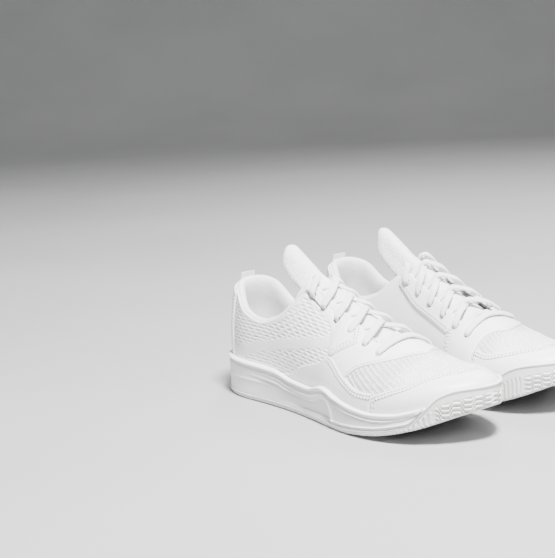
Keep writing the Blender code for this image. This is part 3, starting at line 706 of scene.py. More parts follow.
@cache
def lace_cloth():
    return textured("woven_lace", (0.87, 0.87, 0.86), 0.7,
                    (crossed_yarns, (0.78, 0.78, 0.775), (0.88, 0.88, 0.875)),
                    [(crossed_yarns, 0.7, 0.0004)], Sheen_Weight=0.2)


@cache
def webbing():
    return textured("woven_tape", (0.84, 0.84, 0.835), 0.75,
                    (square_weave, (0.76, 0.76, 0.755), (0.86, 0.86, 0.855)),
                    [(square_weave, 0.7, 0.0004)], Sheen_Weight=0.2)


@cache
def aglet_plastic():
    return textured("aglet_plastic", (0.85, 0.86, 0.87), 0.25, None, [(noise(400, 2), 0.15, 0.0003)],
                    Coat_Weight=0.4, Coat_Roughness=0.15)


@cache
def fibre_board():
    return textured("fibre_board", (0.6, 0.53, 0.42), 0.85,
                    (noise(300, 4), (0.5, 0.43, 0.33), (0.66, 0.59, 0.48)), [(noise(700, 4), 0.4, 0.0004)])


@cache
def stiffener():
    return textured("stiffener_plastic", (0.75, 0.77, 0.79), 0.5, None, [(noise(300), 0.2, 0.0004)])


# ---------------------------------------------------------------- sole

MIDSOLE_INSET, OUTSOLE_INSET, SEAT_INSET = 0.7, 0.35, 2.3
SOCKLINER_TOP = 3.2
FLUTE_PERIOD, NOTCH_PERIOD, SCORE_PERIOD = 3.6, 3.3, 2.2
BAR_PERIOD, BAR_RISE, ZIGZAG_LENGTH, ZIGZAG_STEEPNESS = 3.4, 5.1, 15, 2.8
TREAD_PERIOD, TREAD_ZIGZAG, TREAD_SWING, TREAD_GROOVE = 7.5, 22, 9, 1.1
TREAD_POINTS = 60                      # steps of a grooved line across the tread

second_line = profile((0.56, 24), (0.592, 19.8), (0.632, 17.2), (0.708, 15.3), (0.788, 19), (0.845, 27))
band_line = profile((0.2, 17), (0.396, 17.5), (0.488, 20.5), (0.54, 25))
fold_at = profile((0, 0.585), (5.5, 0.573), (15, 0.562), (24, 0.541), (30, 0.522))
sockliner_inset = profile((0, 7.6), (0.3, 8.4), (0.72, 9.4), (0.85, 13), (1, 18), (1.15, 13),
                          (1.28, 9.4), (1.7, 8.4), (2, 7.6))


def ridge_of(distance, width):
    """Rounded ridge of height 1 and this half-width across a distance."""
    return np.exp(-(distance / width) ** 2)


def crease(distance, width):
    """Thin ridge with a groove along its lower side."""
    return ridge_of(distance, width) - 1.2 * ridge_of(distance + 1.8 * width, width)


def smooth_step(value, start, end):
    t = np.clip((value - start) / (end - start), 0, 1)
    return t * t * (3 - 2 * t)


def ripple(value, period):
    return np.sin(2 * math.pi * value / period)


def behind_waist(t):
    """1 behind the sole's folded waist and 0 in front of it."""
    return 1 - smooth_step(t, 0.5, 0.53)


def midsole_relief(around, z, low, top):
    """How far the midsole's wall stands out, over its plain surface."""
    t = station(around)
    below = top - z
    height = ridge_of(below - 1.3, 1.3) - ridge_of(below - 3.9, 1.0)
    front = smooth_step(t, 0.545, 0.56)
    height += front * crease(z - second_line(t), 0.65)
    height += front * 0.8 * crease(z - low - 2.0, 0.55)
    rear = behind_waist(t) * smooth_step(t, 0.2, 0.33)
    height += rear * 0.9 * crease(10.0 - below, 0.9)
    height += rear * 0.6 * ridge_of(below - 6.2, 0.6)
    height += behind_waist(t) * 0.4 * ridge_of(z - band_line(t), 0.8)
    behind_fold = fold_at(z) - t
    hollow = smooth_step(t, 0.3, 0.52) * smooth_step(behind_fold, 0, 0.007)
    height -= 2.6 * hollow * smooth_step(below, 6, 13) * smooth_step(z - low, 0, 3)
    height += ridge_of(behind_fold + 0.003, 0.005) * smooth_step(below, 3, 7)
    return height


def closed_stack(rows, open_first=False):
    """Points and faces of a solid from rows of closed rings, with bridges across its ends."""
    n = len(rows[0])
    faces = []
    for r in range(len(rows) - 1):
        a = r * n + np.arange(n)
        b = r * n + (np.arange(n) + 1) % n
        faces += np.column_stack([a, b, b + n, a + n]).tolist()
    ends = ((0, True), ((len(rows) - 1) * n, False))
    for first, turned in ends[1:] if open_first else ends:
        for k in range(n // 2):
            cell = [first + k, first + k + 1, first + (n - k - 1) % n, first + (n - k) % n]
            cell = without_repeats(cell)
            faces.append(cell[::-1] if turned else cell)
    return np.concatenate(rows), faces


def both_sides(*parts):
    """Columns all the way round from those of the lateral side."""
    half = joined(*parts)
    return np.concatenate([half, 2 - half[-2:0:-1]])


def sole_ring(columns, inset, z):
    edge = outline(columns) - outward(columns) * np.reshape(inset, (-1, 1))
    return np.column_stack([edge, z])


def rim_height(columns, x):
    """Height of the outsole's upper edge, which rises into the toe bumper."""
    return np.maximum(bottom_z(x) + 4.2, rim_z(columns))


def upper_inset(columns, z):
    """How far inside the outline the upper's surface lies at a height."""
    up = up_at_height(columns, z)
    overlaid = (columns > 0.32) & (columns < 1.3)
    surface = wall_point(columns, up, np.where(overlaid, 1.2, 0.1))
    inset = np.sum((outline(columns) - surface[:, :2]) * outward(columns), axis=1)
    return np.clip(inset, 1.8, 6.0)


def build_midsole(side):
    """Foam wall. Behind the toe bumper it is tucked in and hidden."""
    columns = both_sides(np.linspace(0, 0.48, 130), np.linspace(0.48, 0.61, 110),
                         np.linspace(0.61, 1, 130))
    x = outline(columns)[:, 0]
    top = wall_z(columns)
    rim = rim_height(columns, x)
    hidden = rim > top - 0.6
    seat = foot_z(x) - 3.1
    wall_top = np.where(hidden, seat + 1.2, top)
    low = np.where(hidden, seat + 0.4, np.minimum(rim + 0.5, top - 0.5))
    rows = [sole_ring(columns, 2.9, bottom_z(x) + 3.5), sole_ring(columns, 2.9, low - 0.3)]
    for t in np.concatenate([np.linspace(0, 0.7, 40), np.linspace(0.715, 1, 22)]):
        z = low + (wall_top - low) * t
        round_top = 1.1 * smooth_step(t, 0.93, 1) ** 2
        shown = MIDSOLE_INSET - midsole_relief(columns, z, low, top) + round_top
        rows.append(sole_ring(columns, np.where(hidden, 2.6, shown), z))
    inner = np.where(hidden, 3.3, SEAT_INSET)
    rows.append(sole_ring(columns, np.where(hidden, 3.2, upper_inset(columns, top)), wall_top - 0.2))
    rows.append(sole_ring(columns, inner, wall_top - np.where(hidden, 0.4, 2.5)))
    rows.append(sole_ring(columns, inner, seat))
    points, faces = closed_stack(rows)
    uv = np.column_stack([np.tile(columns * AROUND_MM, len(rows)), points[:, 2]])
    made = add_mesh(side, "midsole_wall", points, faces, moulded_foam(), uv, sharp=65)
    finish_piece(made, side, "midsole_foam", "midsole")


def chevrons(along, z):
    """Zigzag bars with flat crests, one above another."""
    zigzag = np.abs((along / ZIGZAG_LENGTH) % 1 - 0.5) * 2
    slope = np.clip((zigzag - 0.5) * ZIGZAG_STEEPNESS + 0.5, 0, 1)
    return np.tanh(3 * ripple(z + slope * BAR_RISE, BAR_PERIOD))


def outsole_relief(columns, z, bottom, rim):
    """How far the rubber stands out: flutes, the bumper's zigzag bars, its lip and scored lines."""
    t = station(columns)
    along = columns * AROUND_MM
    share = (z - bottom) / np.maximum(rim - bottom, 1)
    lower = smooth_step(z - bottom, 1.5, 2.5) * (1 - smooth_step(share, 0.6, 0.66))
    high_rim = smooth_step(rim - bottom, 5, 9)
    flutes = smooth_step(t, 0.775, 0.79) * (1 - smooth_step(t, 0.858, 0.866))
    height = 0.6 * flutes * lower * np.tanh(3 * ripple(along, FLUTE_PERIOD))
    height += 0.7 * smooth_step(t, 0.866, 0.874) * lower * chevrons(along, z)
    height += 0.7 * (1 - smooth_step(rim - z, 1.1, 1.9)) * high_rim
    scored = behind_waist(t) * smooth_step(z - bottom, 0.8, 1.2)
    height += scored * 0.22 * ripple(along + 1.4 * z, SCORE_PERIOD)
    height += 0.35 * ridge_of(rim - z, 0.7) * (1 - high_rim)
    return height


def tread_depth(points):
    """How deep the herringbone grooves of the tread are at points of the sole's underside."""
    zigzag = np.abs((points[:, 1] / TREAD_ZIGZAG) % 1 - 0.5) * 2
    bars = ripple(points[:, 0] + TREAD_SWING * zigzag, TREAD_PERIOD)
    return TREAD_GROOVE * smooth_step(bars, 0.2, 0.65)


def tread_cap(ring, first):
    """Points and faces that close a sole's bottom ring with grooved lines across it."""
    n = len(ring)
    half = n // 2
    share = np.linspace(0, 1, TREAD_POINTS + 1)[1:-1]
    k = np.arange(1, half)
    start, end = ring[k], ring[(n - k) % n]
    lines = start[:, None] * (1 - share[None, :, None]) + end[:, None] * share[None, :, None]
    flat = lines.reshape(-1, 3)
    border = np.minimum(share, 1 - share)[None, :] * np.linalg.norm(end - start, axis=1)[:, None]
    ends = np.minimum(k, half - k)[:, None] * 0.7
    flat[:, 2] += tread_depth(flat) * smooth_step(np.minimum(border, ends), 2.0, 3.0).ravel()
    inner = np.arange(len(flat)).reshape(half - 1, TREAD_POINTS - 1) + first
    rows = np.column_stack([k, inner, (n - k) % n])
    a, b, c, d = rows[:-1, :-1], rows[:-1, 1:], rows[1:, 1:], rows[1:, :-1]
    faces = np.stack([a, b, c, d], axis=-1).reshape(-1, 4).tolist()
    faces.append([0] + rows[0][::-1].tolist())
    faces.append([half] + rows[-1].tolist())
    return flat, faces


def build_outsole(side):
    """Rubber shell with tread blocks along its edge and a bumper that wraps the toe."""
    columns = both_sides(np.linspace(0, 0.52, 170), np.linspace(0.52, 0.76, 130),
                         np.linspace(0.76, 1, 240))
    x = outline(columns)[:, 0]
    t = station(columns)
    bottom = bottom_z(x)
    rim = rim_height(columns, x)
    toothed = smooth_step(t, 0.53, 0.56) * (1 - smooth_step(t, 0.93, 0.96))
    notch = 1.1 * toothed * smooth_step(ripple(columns * AROUND_MM, NOTCH_PERIOD), -0.2, 0.5)
    rows = [sole_ring(columns, 3.6, bottom + notch)]
    for k in np.linspace(0, 1, 60):
        z = bottom + 0.4 + notch * (1 - k) + (rim - bottom - 0.4) * k
        corner = 1.2 * (1 - smooth_step(z - bottom - notch, 0.2, 1.6))
        high = smooth_step(rim - bottom, 8, 14)
        lean = 0.8 * high * (1 - smooth_step(k, 0, 0.85)) + 0.5 * smooth_step(z, 30, 42)
        round_top = 0.5 * smooth_step(k, 0.96, 1) ** 2
        inset = OUTSOLE_INSET + corner + lean + round_top - outsole_relief(columns, z, bottom, rim)
        rows.append(sole_ring(columns, inset, z))
    rows.append(sole_ring(columns, 2.3 + 0.6 * smooth_step(rim, 26, 42), rim))
    rows.append(sole_ring(columns, 2.5, bottom + 3.2))
    points, faces = closed_stack(rows, open_first=True)
    more, cap = tread_cap(rows[0], len(points))
    points = np.vstack([points, more])
    uv = np.column_stack([points[:, 0], points[:, 1] + points[:, 2]])
    made = add_mesh(side, "outsole_shell", points, faces + cap, rubber(), uv, sharp=60)
    finish_piece(made, side, "rubber", "outsole")


def build_sockliner(side):
    columns = np.linspace(0, 2, 200, endpoint=False)
    base = sockliner_inset(columns)
    z = foot_z(outline(columns)[:, 0])
    section = ((0, -0.7), (0, 2.2), (0.5, 2.9), (1.6, SOCKLINER_TOP), (6, 2.7), (12, 2.4))
    rows = [sole_ring(columns, base + inset, z + rise) for inset, rise in section]
    points, faces = closed_stack(rows)
    made = add_mesh(side, "sockliner_cloth", points, faces, lining(), points[:, :2], sharp=60)
    finish_piece(made, side, "lining", "sockliner")


# ---------------------------------------------------------------- upper

OUTER_DOUBLE, INNER_DOUBLE = (-1.9, -4.3), (2.0, 4.4)      # two rows of stitches beside an edge
EMBOSSED_ROW, EMBOSSED_DASH, EMBOSSED_DEPTH = 2.75, 9, 0.75
LINING_OUT, PAD_SWELL = 4.1, 3.8
TONGUE_DEPTH = 7.6
TONGUE_HINGE = 0.368
PADDING_EDGE = 5

guard_top = profile((0.7, 0.22), (0.74, 0.3), (0.78, 0.38), (0.83, 0.53), (0.9, 0.66), (1, 0.7),
                    (1.1, 0.66), (1.17, 0.56), (1.22, 0.48), (1.26, 0.43), (1.3, 0.45))
foxing_top = profile((0.3, 0.03), (0.368, 0.06), (0.412, 0.14), (0.496, 0.27), (0.532, 0.37),
                     (0.6, 0.295), (0.668, 0.24), (0.715, 0.25))
overlay_lower = profile((0.53, 0.37), (0.6, 0.3), (0.628, 0.42), (0.672, 0.57), (0.704, 0.72),
                        (0.722, 0.86), (0.735, 0.965), (0.738, 1))
overlay_upper = profile((0.53, 0.38), (0.545, 0.5), (0.556, 0.62), (0.57, LATERAL_EDGE),
                        (0.622, LATERAL_EDGE), (0.634, 0.8), (0.642, 0.88), (0.6465, 1))
medial_lower = profile((0.588, 0), (0.685, 0), (0.69, 0.1), (0.698, 0.55), (0.71, 0.76), (0.722, 0.88),
                       (0.735, 0.97), (0.738, 1))
medial_upper = profile((0.588, MEDIAL_EDGE), (0.618, MEDIAL_EDGE), (0.632, 0.72), (0.641, 0.84),
                       (0.6465, 1))
stay_lower = profile((0.385, 0.66), (0.46, 0.62), (0.495, 0.57), (0.515, 0.46), (0.53, 0.37),
                     (0.56, 0.465), (0.584, 0.57), (0.592, 0.62))
stay_upper = profile((0.385, 0.76), (0.566, 0.76), (0.575, 0.735), (0.585, 0.68), (0.592, 0.63))
medial_stay_lower = profile((0.385, 0.5), (0.46, 0.42), (0.582, 0.42), (0.592, 0.5))
vamp_lower = profile((0.575, 0.2), (0.7, 0.16), (0.8, 0.28), (0.9, 0.45), (1, 0.5))
vamp_upper = profile((0.575, 0.5), (0.6, 0.54), (0.62, 0.62), (0.65, 0.75), (0.67, 0.88), (0.69, 1))
tongue_lateral = profile((0.28, 0.84), (0.2815, 0.77), (0.285, 0.7), (0.292, 0.645), (0.305, 0.615),
                         (0.33, 0.6), (0.38, 0.6), (0.42, 0.52), (0.735, 0.5))
tongue_medial = profile((0.28, 0.8), (0.2815, 0.72), (0.285, 0.65), (0.292, 0.59), (0.305, 0.555),
                        (0.33, 0.53), (0.37, 0.5), (0.41, 0.43), (0.735, 0.4))
tongue_padding = profile((0.28, 1.6), (0.292, 4.4), (0.35, 4.8), (0.38, 3.8), (0.735, 3.0))


def mirrored(rule):
    """The same edge on the medial side."""
    return lambda around: rule(2 - around)


def mesh_ribs(around, up, from_rim):
    """Slanted ribs with rungs between them in the side windows. They fade towards the toe's middle."""
    u, v = around_mm(around), rib_length(around, up)
    across = u * RIB_SLANT[0] + v * RIB_SLANT[1]
    along = u * RIB_SLANT[1] - v * RIB_SLANT[0]
    ribs = smooth_step(np.cos(2 * math.pi * across / RIB_PERIOD), 0.72, 0.95)
    rungs = 0.28 * np.cos(2 * math.pi * along / RUNG_PERIOD) * (1 - ribs)
    fade = (1 - smooth_step(station(around), 0.735, 0.785)) * (1 - smooth_step(up, 0.6, 0.75))
    return (0.5 * ribs + rungs) * fade


def build_vamp(side):
    """Mesh toe. Its points lie closer together above the toe guard, where the ribs show."""
    lateral = joined(np.linspace(0.575, 0.79, 125), np.linspace(0.79, 1, 60))
    medial = 2 - lateral[::-1]
    low, high = mirrored(vamp_lower), mirrored(vamp_upper)
    strips = [(lateral, 0, vamp_lower, 6), (lateral, vamp_lower, vamp_upper, 0.65),
              (medial, 0, low, 6), (medial, low, high, 0.65)]
    made = wall_sheet(side, "vamp_knit", strips, -1.0, 1.0, knit(), mesh_ribs)
    finish_piece(made, side, "mesh", "vamp_mesh")


def build_toe_guard(side):
    leather_panel(side, "toe_cap", ["toe_guard"], [(spread(0.7, 1.3, 1.6), 0, guard_top)], 0.0, 1.5)
    edge = np.linspace(0.703, 1.297, 220)
    stitch_rows(side, "toe_cap_top_stitch", (edge, guard_top(edge)), OUTER_DOUBLE, 1.5)
    rear = (np.full(20, 0.7), np.linspace(0.02, 0.2, 20))
    stitch_rows(side, "toe_cap_rear_stitch", rear, OUTER_DOUBLE, 1.5)


def foxing_thickness(around):
    return 0.5 + 1.3 * smooth_step(around, 0.46, 0.55)


def build_foxing(side):
    strips = [(spread(0.3, 0.7, 1.6), 0, foxing_top)]
    leather_panel(side, "foxing_panel", ["foxing_lateral"], strips, 0.0, foxing_thickness)
    edge = np.linspace(0.525, 0.698, 90)
    stitch_rows(side, "foxing_stitch", (edge, foxing_top(edge)), OUTER_DOUBLE, foxing_thickness)


def overlay_edge(around):
    """Lower edge of the overlay, which dips behind the vamp's window."""
    return overlay_lower(around) - 0.04 * (1 - smooth_step(around, 0.585, 0.61))


def build_overlay(side):
    lateral = joined(spread(0.53, 0.6465, 1.6), RIDGE_COLUMNS)
    medial = joined(spread(0.588, 0.6465, 1.6), RIDGE_COLUMNS)
    strips = [(lateral, overlay_edge, overlay_upper),
              (2 - medial[::-1], mirrored(medial_lower), mirrored(medial_upper))]
    made = leather_panel(side, "vamp_stay", ["vamp_overlay"], strips, 0.0, 1.3, step=1.6)
    window = np.linspace(0.606, 0.735, 60)
    throat = np.linspace(0.602, 0.645, 60)
    seam = (np.full(40, 2 - 0.588), np.linspace(0.04, 0.55, 40))
    inner_window = (2 - np.linspace(0.695, 0.6905, 30), np.linspace(0.44, 0.1, 30))
    stitch_rows(side, "vamp_stay_stitch", (window, overlay_lower(window)), (2.0,), 1.3)
    stitch_rows(side, "medial_seam_stitch", seam, INNER_DOUBLE, 1.3)
    stitch_rows(side, "medial_window_stitch", inner_window, (-2.0, -4.4), 1.3)
    stitch_rows(side, "throat_stitch", (throat, overlay_upper(throat)), (-2.0,), 1.3)
    return made


def embossing(around, up, from_rim):
    """Rows of pressed dashes in two zones, with a plain band between them."""
    u, v = around_mm(around), rib_length(around, up)
    row = v / EMBOSSED_ROW
    shift = np.floor(row) % 2 * 0.5 + np.floor(row / 2) % 2 * 0.2
    along = (u / EMBOSSED_DASH + shift) % 1
    inside_row = np.sin(math.pi * (row % 1)) ** 2
    dash = smooth_step(along, 0.06, 0.3) * (1 - smooth_step(along, 0.7, 0.94))
    plain = ridge_of(v - 33 - 0.28 * (u - 120), 5.5)
    zone = (1 - smooth_step(plain, 0.3, 0.7)) * smooth_step(v, 6, 10) * smooth_step(from_rim, 1.5, 4)
    zone = zone * smooth_step(u, 12, 40) * (1 - smooth_step(u, 160, 170))
    return -EMBOSSED_DEPTH * inside_row * dash * zone


def quarter_top(highest):
    """Upper edge of a quarter, below its collar and no higher than a height."""
    return lambda around: np.minimum(collar_top(around), highest)


def build_quarters(side):
    outer = [(spread(0.001, 0.61, 0.8), 0, quarter_top(0.62), 0.5)]
    inner = [(spread(1.39, 1.999, 2), 0, quarter_top(0.56))]
    return [leather_panel(side, "quarter_outer", ["quarter_lateral"], outer, -1.4, 1.4, embossing),
            leather_panel(side, "quarter_inner", ["quarter_medial"], inner, -1.4, 1.4)]


def stay_underside(around):
    return 1.25 * smooth_step(around, 0.5, 0.533)


def stay_thickness(around):
    return 0.15 + 0.95 * smooth_step(around, 0.5, 0.533)


def build_eyestays(side):
    """Lace stays. The lateral one runs into the quarter and overlaps the vamp's overlay."""
    columns = spread(0.385, 0.592, 1.4)
    lateral = leather_panel(side, "lace_stay_lateral", ["eyestay_lateral", "facing_lateral"],
                            [(columns, stay_lower, stay_upper)], stay_underside, stay_thickness,
                            embossing, step=1.0, sunk=1.4)
    rise = np.linspace(0.531, 0.584, 50)
    around = np.concatenate([rise, (0.5895, 0.5895, 0.585, 0.578, 0.571)])
    up = np.concatenate([stay_lower(rise), (0.6, 0.635, 0.68, 0.715, 0.75)])
    stitch_rows(side, "lace_stay_stitch", (around, up), (1.9, 4.3), 2.35)
    strips = [(2 - columns[::-1], mirrored(medial_stay_lower), MEDIAL_EDGE)]
    medial = leather_panel(side, "lace_stay_medial", ["eyestay_medial", "facing_medial"], strips,
                           0.3, 1.3, step=1.6, sunk=1.4)
    edge = np.linspace(0.4, 0.582, 80)[::-1]
    stitch_rows(side, "medial_stay_stitch", (2 - edge, medial_stay_lower(edge)), INNER_DOUBLE, 1.6)
    return [lateral, medial]


def eyelet_cutter(side):
    """Rods through all the lace holes."""
    points, faces = [], []
    sides = 20
    for s in EYELET_STATIONS:
        for around, up in ((s, LATERAL_EYELET), (2 - s, MEDIAL_EYELET)):
            normal = wall_normal(around, up)[0]
            across = unit(np.cross(normal, (1, 0, 0)))
            other = np.cross(normal, across)
            faces += tube_faces(2, sides, len(points))
            for out in (-4.0, 5.0):
                points += circle(wall_point(around, up, out)[0], across, other, EYELET_RADIUS, sides)
    return add_mesh(side, "eyelet_cutter", points, faces, leather())


def cut_eyelets(side, sheets):
    """Punches the lace holes through the sheets."""
    cutter = eyelet_cutter(side)
    graph = bpy.context.evaluated_depsgraph_get()
    for sheet in sheets:
        hole = sheet.modifiers.new("eyelets", "BOOLEAN")
        hole.operation = "DIFFERENCE"
        hole.solver = "MANIFOLD"
        hole.object = cutter
        graph.update()
        mesh = bpy.data.meshes.new_from_object(sheet.evaluated_get(graph))
        sheet.modifiers.clear()
        sheet.data = mesh
    bpy.data.objects.remove(cutter)


def below_collar(drop):
    return lambda around: collar_top(around) - drop


def build_heel(side):
    strips = [(spread(1.88, 2.12, 1.6), 0, below_collar(0.012))]
    leather_panel(side, "backstay", ["heel_overlay"], strips, 0.0, 1.3)
    strips = [(spread(1.972, 2.028, 1.2), below_collar(0.13), below_collar(-0.028))]
    tab = wall_sheet(side, "pull_tab", strips, 1.5, 1.5, webbing())
    finish_piece(tab, side, "webbing", "heel_tab")
    for name, around in (("medial", 1.888), ("lateral", 2.112)):
        ups = np.linspace(0.07, collar_top(around)[0] - 0.04, 60)
        stitch_rows(side, f"backstay_{name}_stitch", (np.full(60, around), ups), (0.0,), 1.3)
    across = np.linspace(1.977, 2.023, 30)
    for name, drop in (("upper", 0.085), ("lower", 0.118)):
        stitch_rows(side, f"tab_{name}_stitch", (across, below_collar(drop)(across)), (0.0,), 3.0)


def collar_rows(columns):
    """Rows of the collar's section: over the padded top line, down the foot's side and back up."""
    top = collar_top(columns)
    deep = LINING_OUT + PAD_SWELL * smooth_step(0.36 - np.abs(columns), 0, 0.1)
    rolled = ((-0.02, 0.02), (0.004, 0.1), (0.018, 0.35), (0.014, 0.75), (-0.015, 1.02), (-0.07, 1.05))
    rows = [wall_point(columns, np.maximum(top + rise_by, 0.02), -deep * share - 0.25)
            for rise_by, share in rolled]
    for rise_by, share in ((-0.13, 0.75), (-0.2, 0.3)):
        out = -(LINING_OUT + (deep - LINING_OUT) * share)
        rows.append(wall_point(columns, np.maximum(top + rise_by, 0.03), out))
    rows += [wall_point(columns, 0.02, out) for out in (-LINING_OUT, -3.0)]
    rows += [wall_point(columns, np.maximum(top + rise_by, least), out)
             for rise_by, least, out in ((-0.2, 0.03, -3.0), (-0.05, 0.04, -1.9))]
    return rows


def build_collar(side):
    """Padded collar and quarter lining, rolled over the top line."""
    columns = np.linspace(-0.385, 0.385, 170)
    grid = np.stack(collar_rows(columns))
    r, n = grid.shape[:2]
    faces = []
    for i in range(r):
        a = i * n + np.arange(n - 1)
        b = ((i + 1) % r) * n + np.arange(n - 1)
        faces += np.column_stack([a, a + 1, b + 1, b]).tolist()
    faces.append([i * n for i in range(r)])
    faces.append([i * n + n - 1 for i in range(r)][::-1])
    flat = grid.reshape(-1, 3)
    uv = np.column_stack([np.tile(columns * AROUND_MM, r), flat[:, 2]])
    made = add_mesh(side, "collar_lining", flat, faces, lining(), uv, sharp=70)
    smooth = made.modifiers.new("smooth", "SUBSURF")
    smooth.levels = 1
    smooth.render_levels = 1
    finish_piece(made, side, "lining", "quarter_lining", "collar_foam")


def build_tongue(side):
    """Padded tongue in one piece."""
    stations = np.concatenate([np.linspace(0.28, 0.4, 40), np.linspace(0.403, 0.735, 60)])
    strips = [(stations, tongue_lateral, 1), (2 - stations[::-1], mirrored(tongue_medial), 1)]
    keys, faces = merged_grid([strip_grid(*strip, 2.0) for strip in strips])
    around, up = keys[:, 0], keys[:, 1]
    base = rib_point(around, up)
    normal = wall_normal(around, up)
    border, from_rim = rim_of(base, faces)
    full = tongue_padding(station(around)) / 2
    swell = 0.25 + full * np.sqrt(1 - (1 - np.clip(from_rim / PADDING_EDGE, 0, 1)) ** 2)
    middle = -TONGUE_DEPTH - 0.7 + 2.2 * smooth_step(station(around), 0.38, 0.43)
    points, closed = closed_sheet(base + normal * (middle + swell)[:, None],
                                  base + normal * (middle - swell)[:, None], faces, border)
    uv = np.column_stack([around * AROUND_MM, rib_length(around, up)])
    made = add_mesh(side, "tongue_padded", points, closed, padded_cloth(), np.vstack([uv, uv]))
    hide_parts(side.node("tongue"), side.node("tongue_top"))
    hinge = wall_point([TONGUE_HINGE + 0.03, TONGUE_HINGE - 0.03], 1, -TONGUE_DEPTH)
    start, end = side.place(hinge)
    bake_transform(made)


# ---------------------------------------------------------------- laces

AGLET_RADIUS = 1.6
LACE_SIDES, AGLET_SIDES = 14, 18
HALF_WIDTH, HALF_THICKNESS = 2.75, 1.15          # of the lace's oval section
SPAN_POINTS = 16                       # points of the smooth route between two of its corners
CROSSING_SHARES = (0.0, 0.27, 0.5, 0.73, 1.0)
OUTSIDE_OVER, OUTSIDE_UNDER = (3.8, 2.8, 0.5, -1.8, -3.1), (3.8, 0.8, -2.8, -3.1, -3.1)
INSIDE_OVER, INSIDE_UNDER = (-3.1, -2.4, 0.2, -2.4, -3.1), (-3.1,) * 5
AGLET_STOPS = ((-2.5, 1.2), (-2.2, 1.55), (4, 1.6), (4.6, 1.5), (5.2, 1.6), (14, 1.55), (17.4, 1.4),
               (18, 0.9))


def throat_point(row, share, out):
    """Point over the lacing gap: share 0 at the lateral edge, 1 at the medial edge."""
    first, last = EYELET_STATIONS[0], EYELET_STATIONS[-1]
    s = first + (last - first) * row / (len(EYELET_STATIONS) - 1)
    lateral = wall_point(s, LATERAL_EDGE + 0.03, out)[0]
    medial = wall_point(2 - s, MEDIAL_EDGE + 0.03, out)[0]
    ridge = wall_point(s, 1, out)[0]
    if share < 0.5:
        return lateral + (ridge - lateral) * share * 2
    return ridge + (medial - ridge) * (share * 2 - 1)


def through_eyelet(row, lateral, outwards):
    s = EYELET_STATIONS[row]
    around, up = (s, LATERAL_EYELET) if lateral else (2 - s, MEDIAL_EYELET)
    points = [wall_point(around, up, out)[0] for out in (-3.1, -0.9, 2.8)]
    return points if outwards else points[::-1]


def crossing(row, from_lateral, heights, start):
    """Points of the lace on its way to the other side's next row."""
    rows = (start, 0.35, 0.5, 0.65, 0.85)
    return [throat_point(row + r, s if from_lateral else 1 - s, h)
            for s, r, h in zip(CROSSING_SHARES, rows, heights)]


def tucked_end(lateral):
    """Last part of the lace, which goes over the stay's edge into the shoe and lies on the footbed."""
    edge = LATERAL_EDGE if lateral else MEDIAL_EDGE

    def along(position):
        return position if lateral else 2 - position

    route = ((0.407, edge - 0.05, 3.9), (0.402, edge + 0.04, 3.2), (0.394, edge + 0.07, -1.0),
             (0.386, edge, -4.7), (0.374, edge - 0.1, -5.7), (0.36, edge - 0.21, -6.2),
             (0.345, edge - 0.34, -7.0), (0.328, 0.3, -9.5), (0.312, 0.2, -12.5))
    points = [wall_point(along(position), up, out)[0] for position, up, out in route]
    for position, inset in ((0.285, 19.5), (0.26, 20), (0.225, 20), (0.19, 19)):
        border = outline(along(position))[0]
        x, y = border - outward(np.array([along(position)]))[0] * inset
        points.append(np.array((x, y, float(foot_z(x)) + SOCKLINER_TOP + AGLET_RADIUS + 0.9)))
    return points


def half_lace(lateral):
    """Corners of the route from the first row's bar to one end of the lace."""
    points = through_eyelet(0, lateral, False)
    points += crossing(0, lateral, INSIDE_OVER if lateral else INSIDE_UNDER, 0.15)
    at_lateral = not lateral
    for row in range(1, len(EYELET_STATIONS)):
        points += through_eyelet(row, at_lateral, True)
        if row < len(EYELET_STATIONS) - 1:
            over = (row % 2 == 0) == lateral
            points += crossing(row, at_lateral, OUTSIDE_OVER if over else OUTSIDE_UNDER, 0.12)
            at_lateral = not at_lateral
    return points + tucked_end(at_lateral)


def lace_route():
    s = EYELET_STATIONS[0]
    bar = [wall_point(around, up, 3.4)[0]
           for around, up in ((s, 0.75), (s, 0.88), (s, 1), (2 - s, 0.85), (2 - s, 0.67))]
    return half_lace(True)[::-1] + bar + half_lace(False)


def smooth_route(corners, step):
    """Points a step apart on a smooth curve through the corners."""
    p = np.array(corners)
    p = np.vstack([2 * p[0] - p[1], p, 2 * p[-1] - p[-2]])
    t = (np.arange(SPAN_POINTS) / SPAN_POINTS)[:, None]
    spans = [0.5 * (2 * b + (c - a) * t + (2 * a - 5 * b + 4 * c - d) * t * t
                    + (3 * b - a - 3 * c + d) * t**3)
             for a, b, c, d in zip(p, p[1:], p[2:], p[3:])]
    dense = np.vstack(spans + [p[-2]])
    length = length_along(dense)
    return points_at(dense, length, np.linspace(0, length[-1], int(length[-1] / step) + 1))


def nearest_normals(points):
    """Wall normals at the points of the wall nearest to these."""
    a, u = np.meshgrid(np.linspace(0, 2, 161), np.linspace(0, 1, 41), indexing="ij")
    a, u = a.ravel(), u.ravel()
    tree = tree_of(rib_point(a, u))
    return wall_normal(a, u)[[tree.find(p)[1] for p in points]]


def broad_side(direction, normals):
    """Directions square to the lace that turn towards the wall's normals without a sudden twist."""
    flat = normals - direction * np.sum(normals * direction, axis=1)[:, None]
    strength = np.linalg.norm(flat, axis=1)
    flat = unit(flat)
    facing = [flat[0]]
    for i in range(1, len(direction)):
        carried = facing[-1] - direction[i] * np.dot(facing[-1], direction[i])
        carried /= np.linalg.norm(carried)
        wanted = flat[i] if np.dot(flat[i], carried) > 0 else -flat[i]
        pull = 0.5 * smooth_step(strength[i], 0.45, 0.9)
        mixed = carried * (1 - pull) + wanted * pull
        facing.append(mixed / np.linalg.norm(mixed))
    return np.array(facing)


def rounded(value):
    """Share of a section's half-width that makes it fuller than an ellipse."""
    return math.copysign(abs(value) ** 0.75, value)


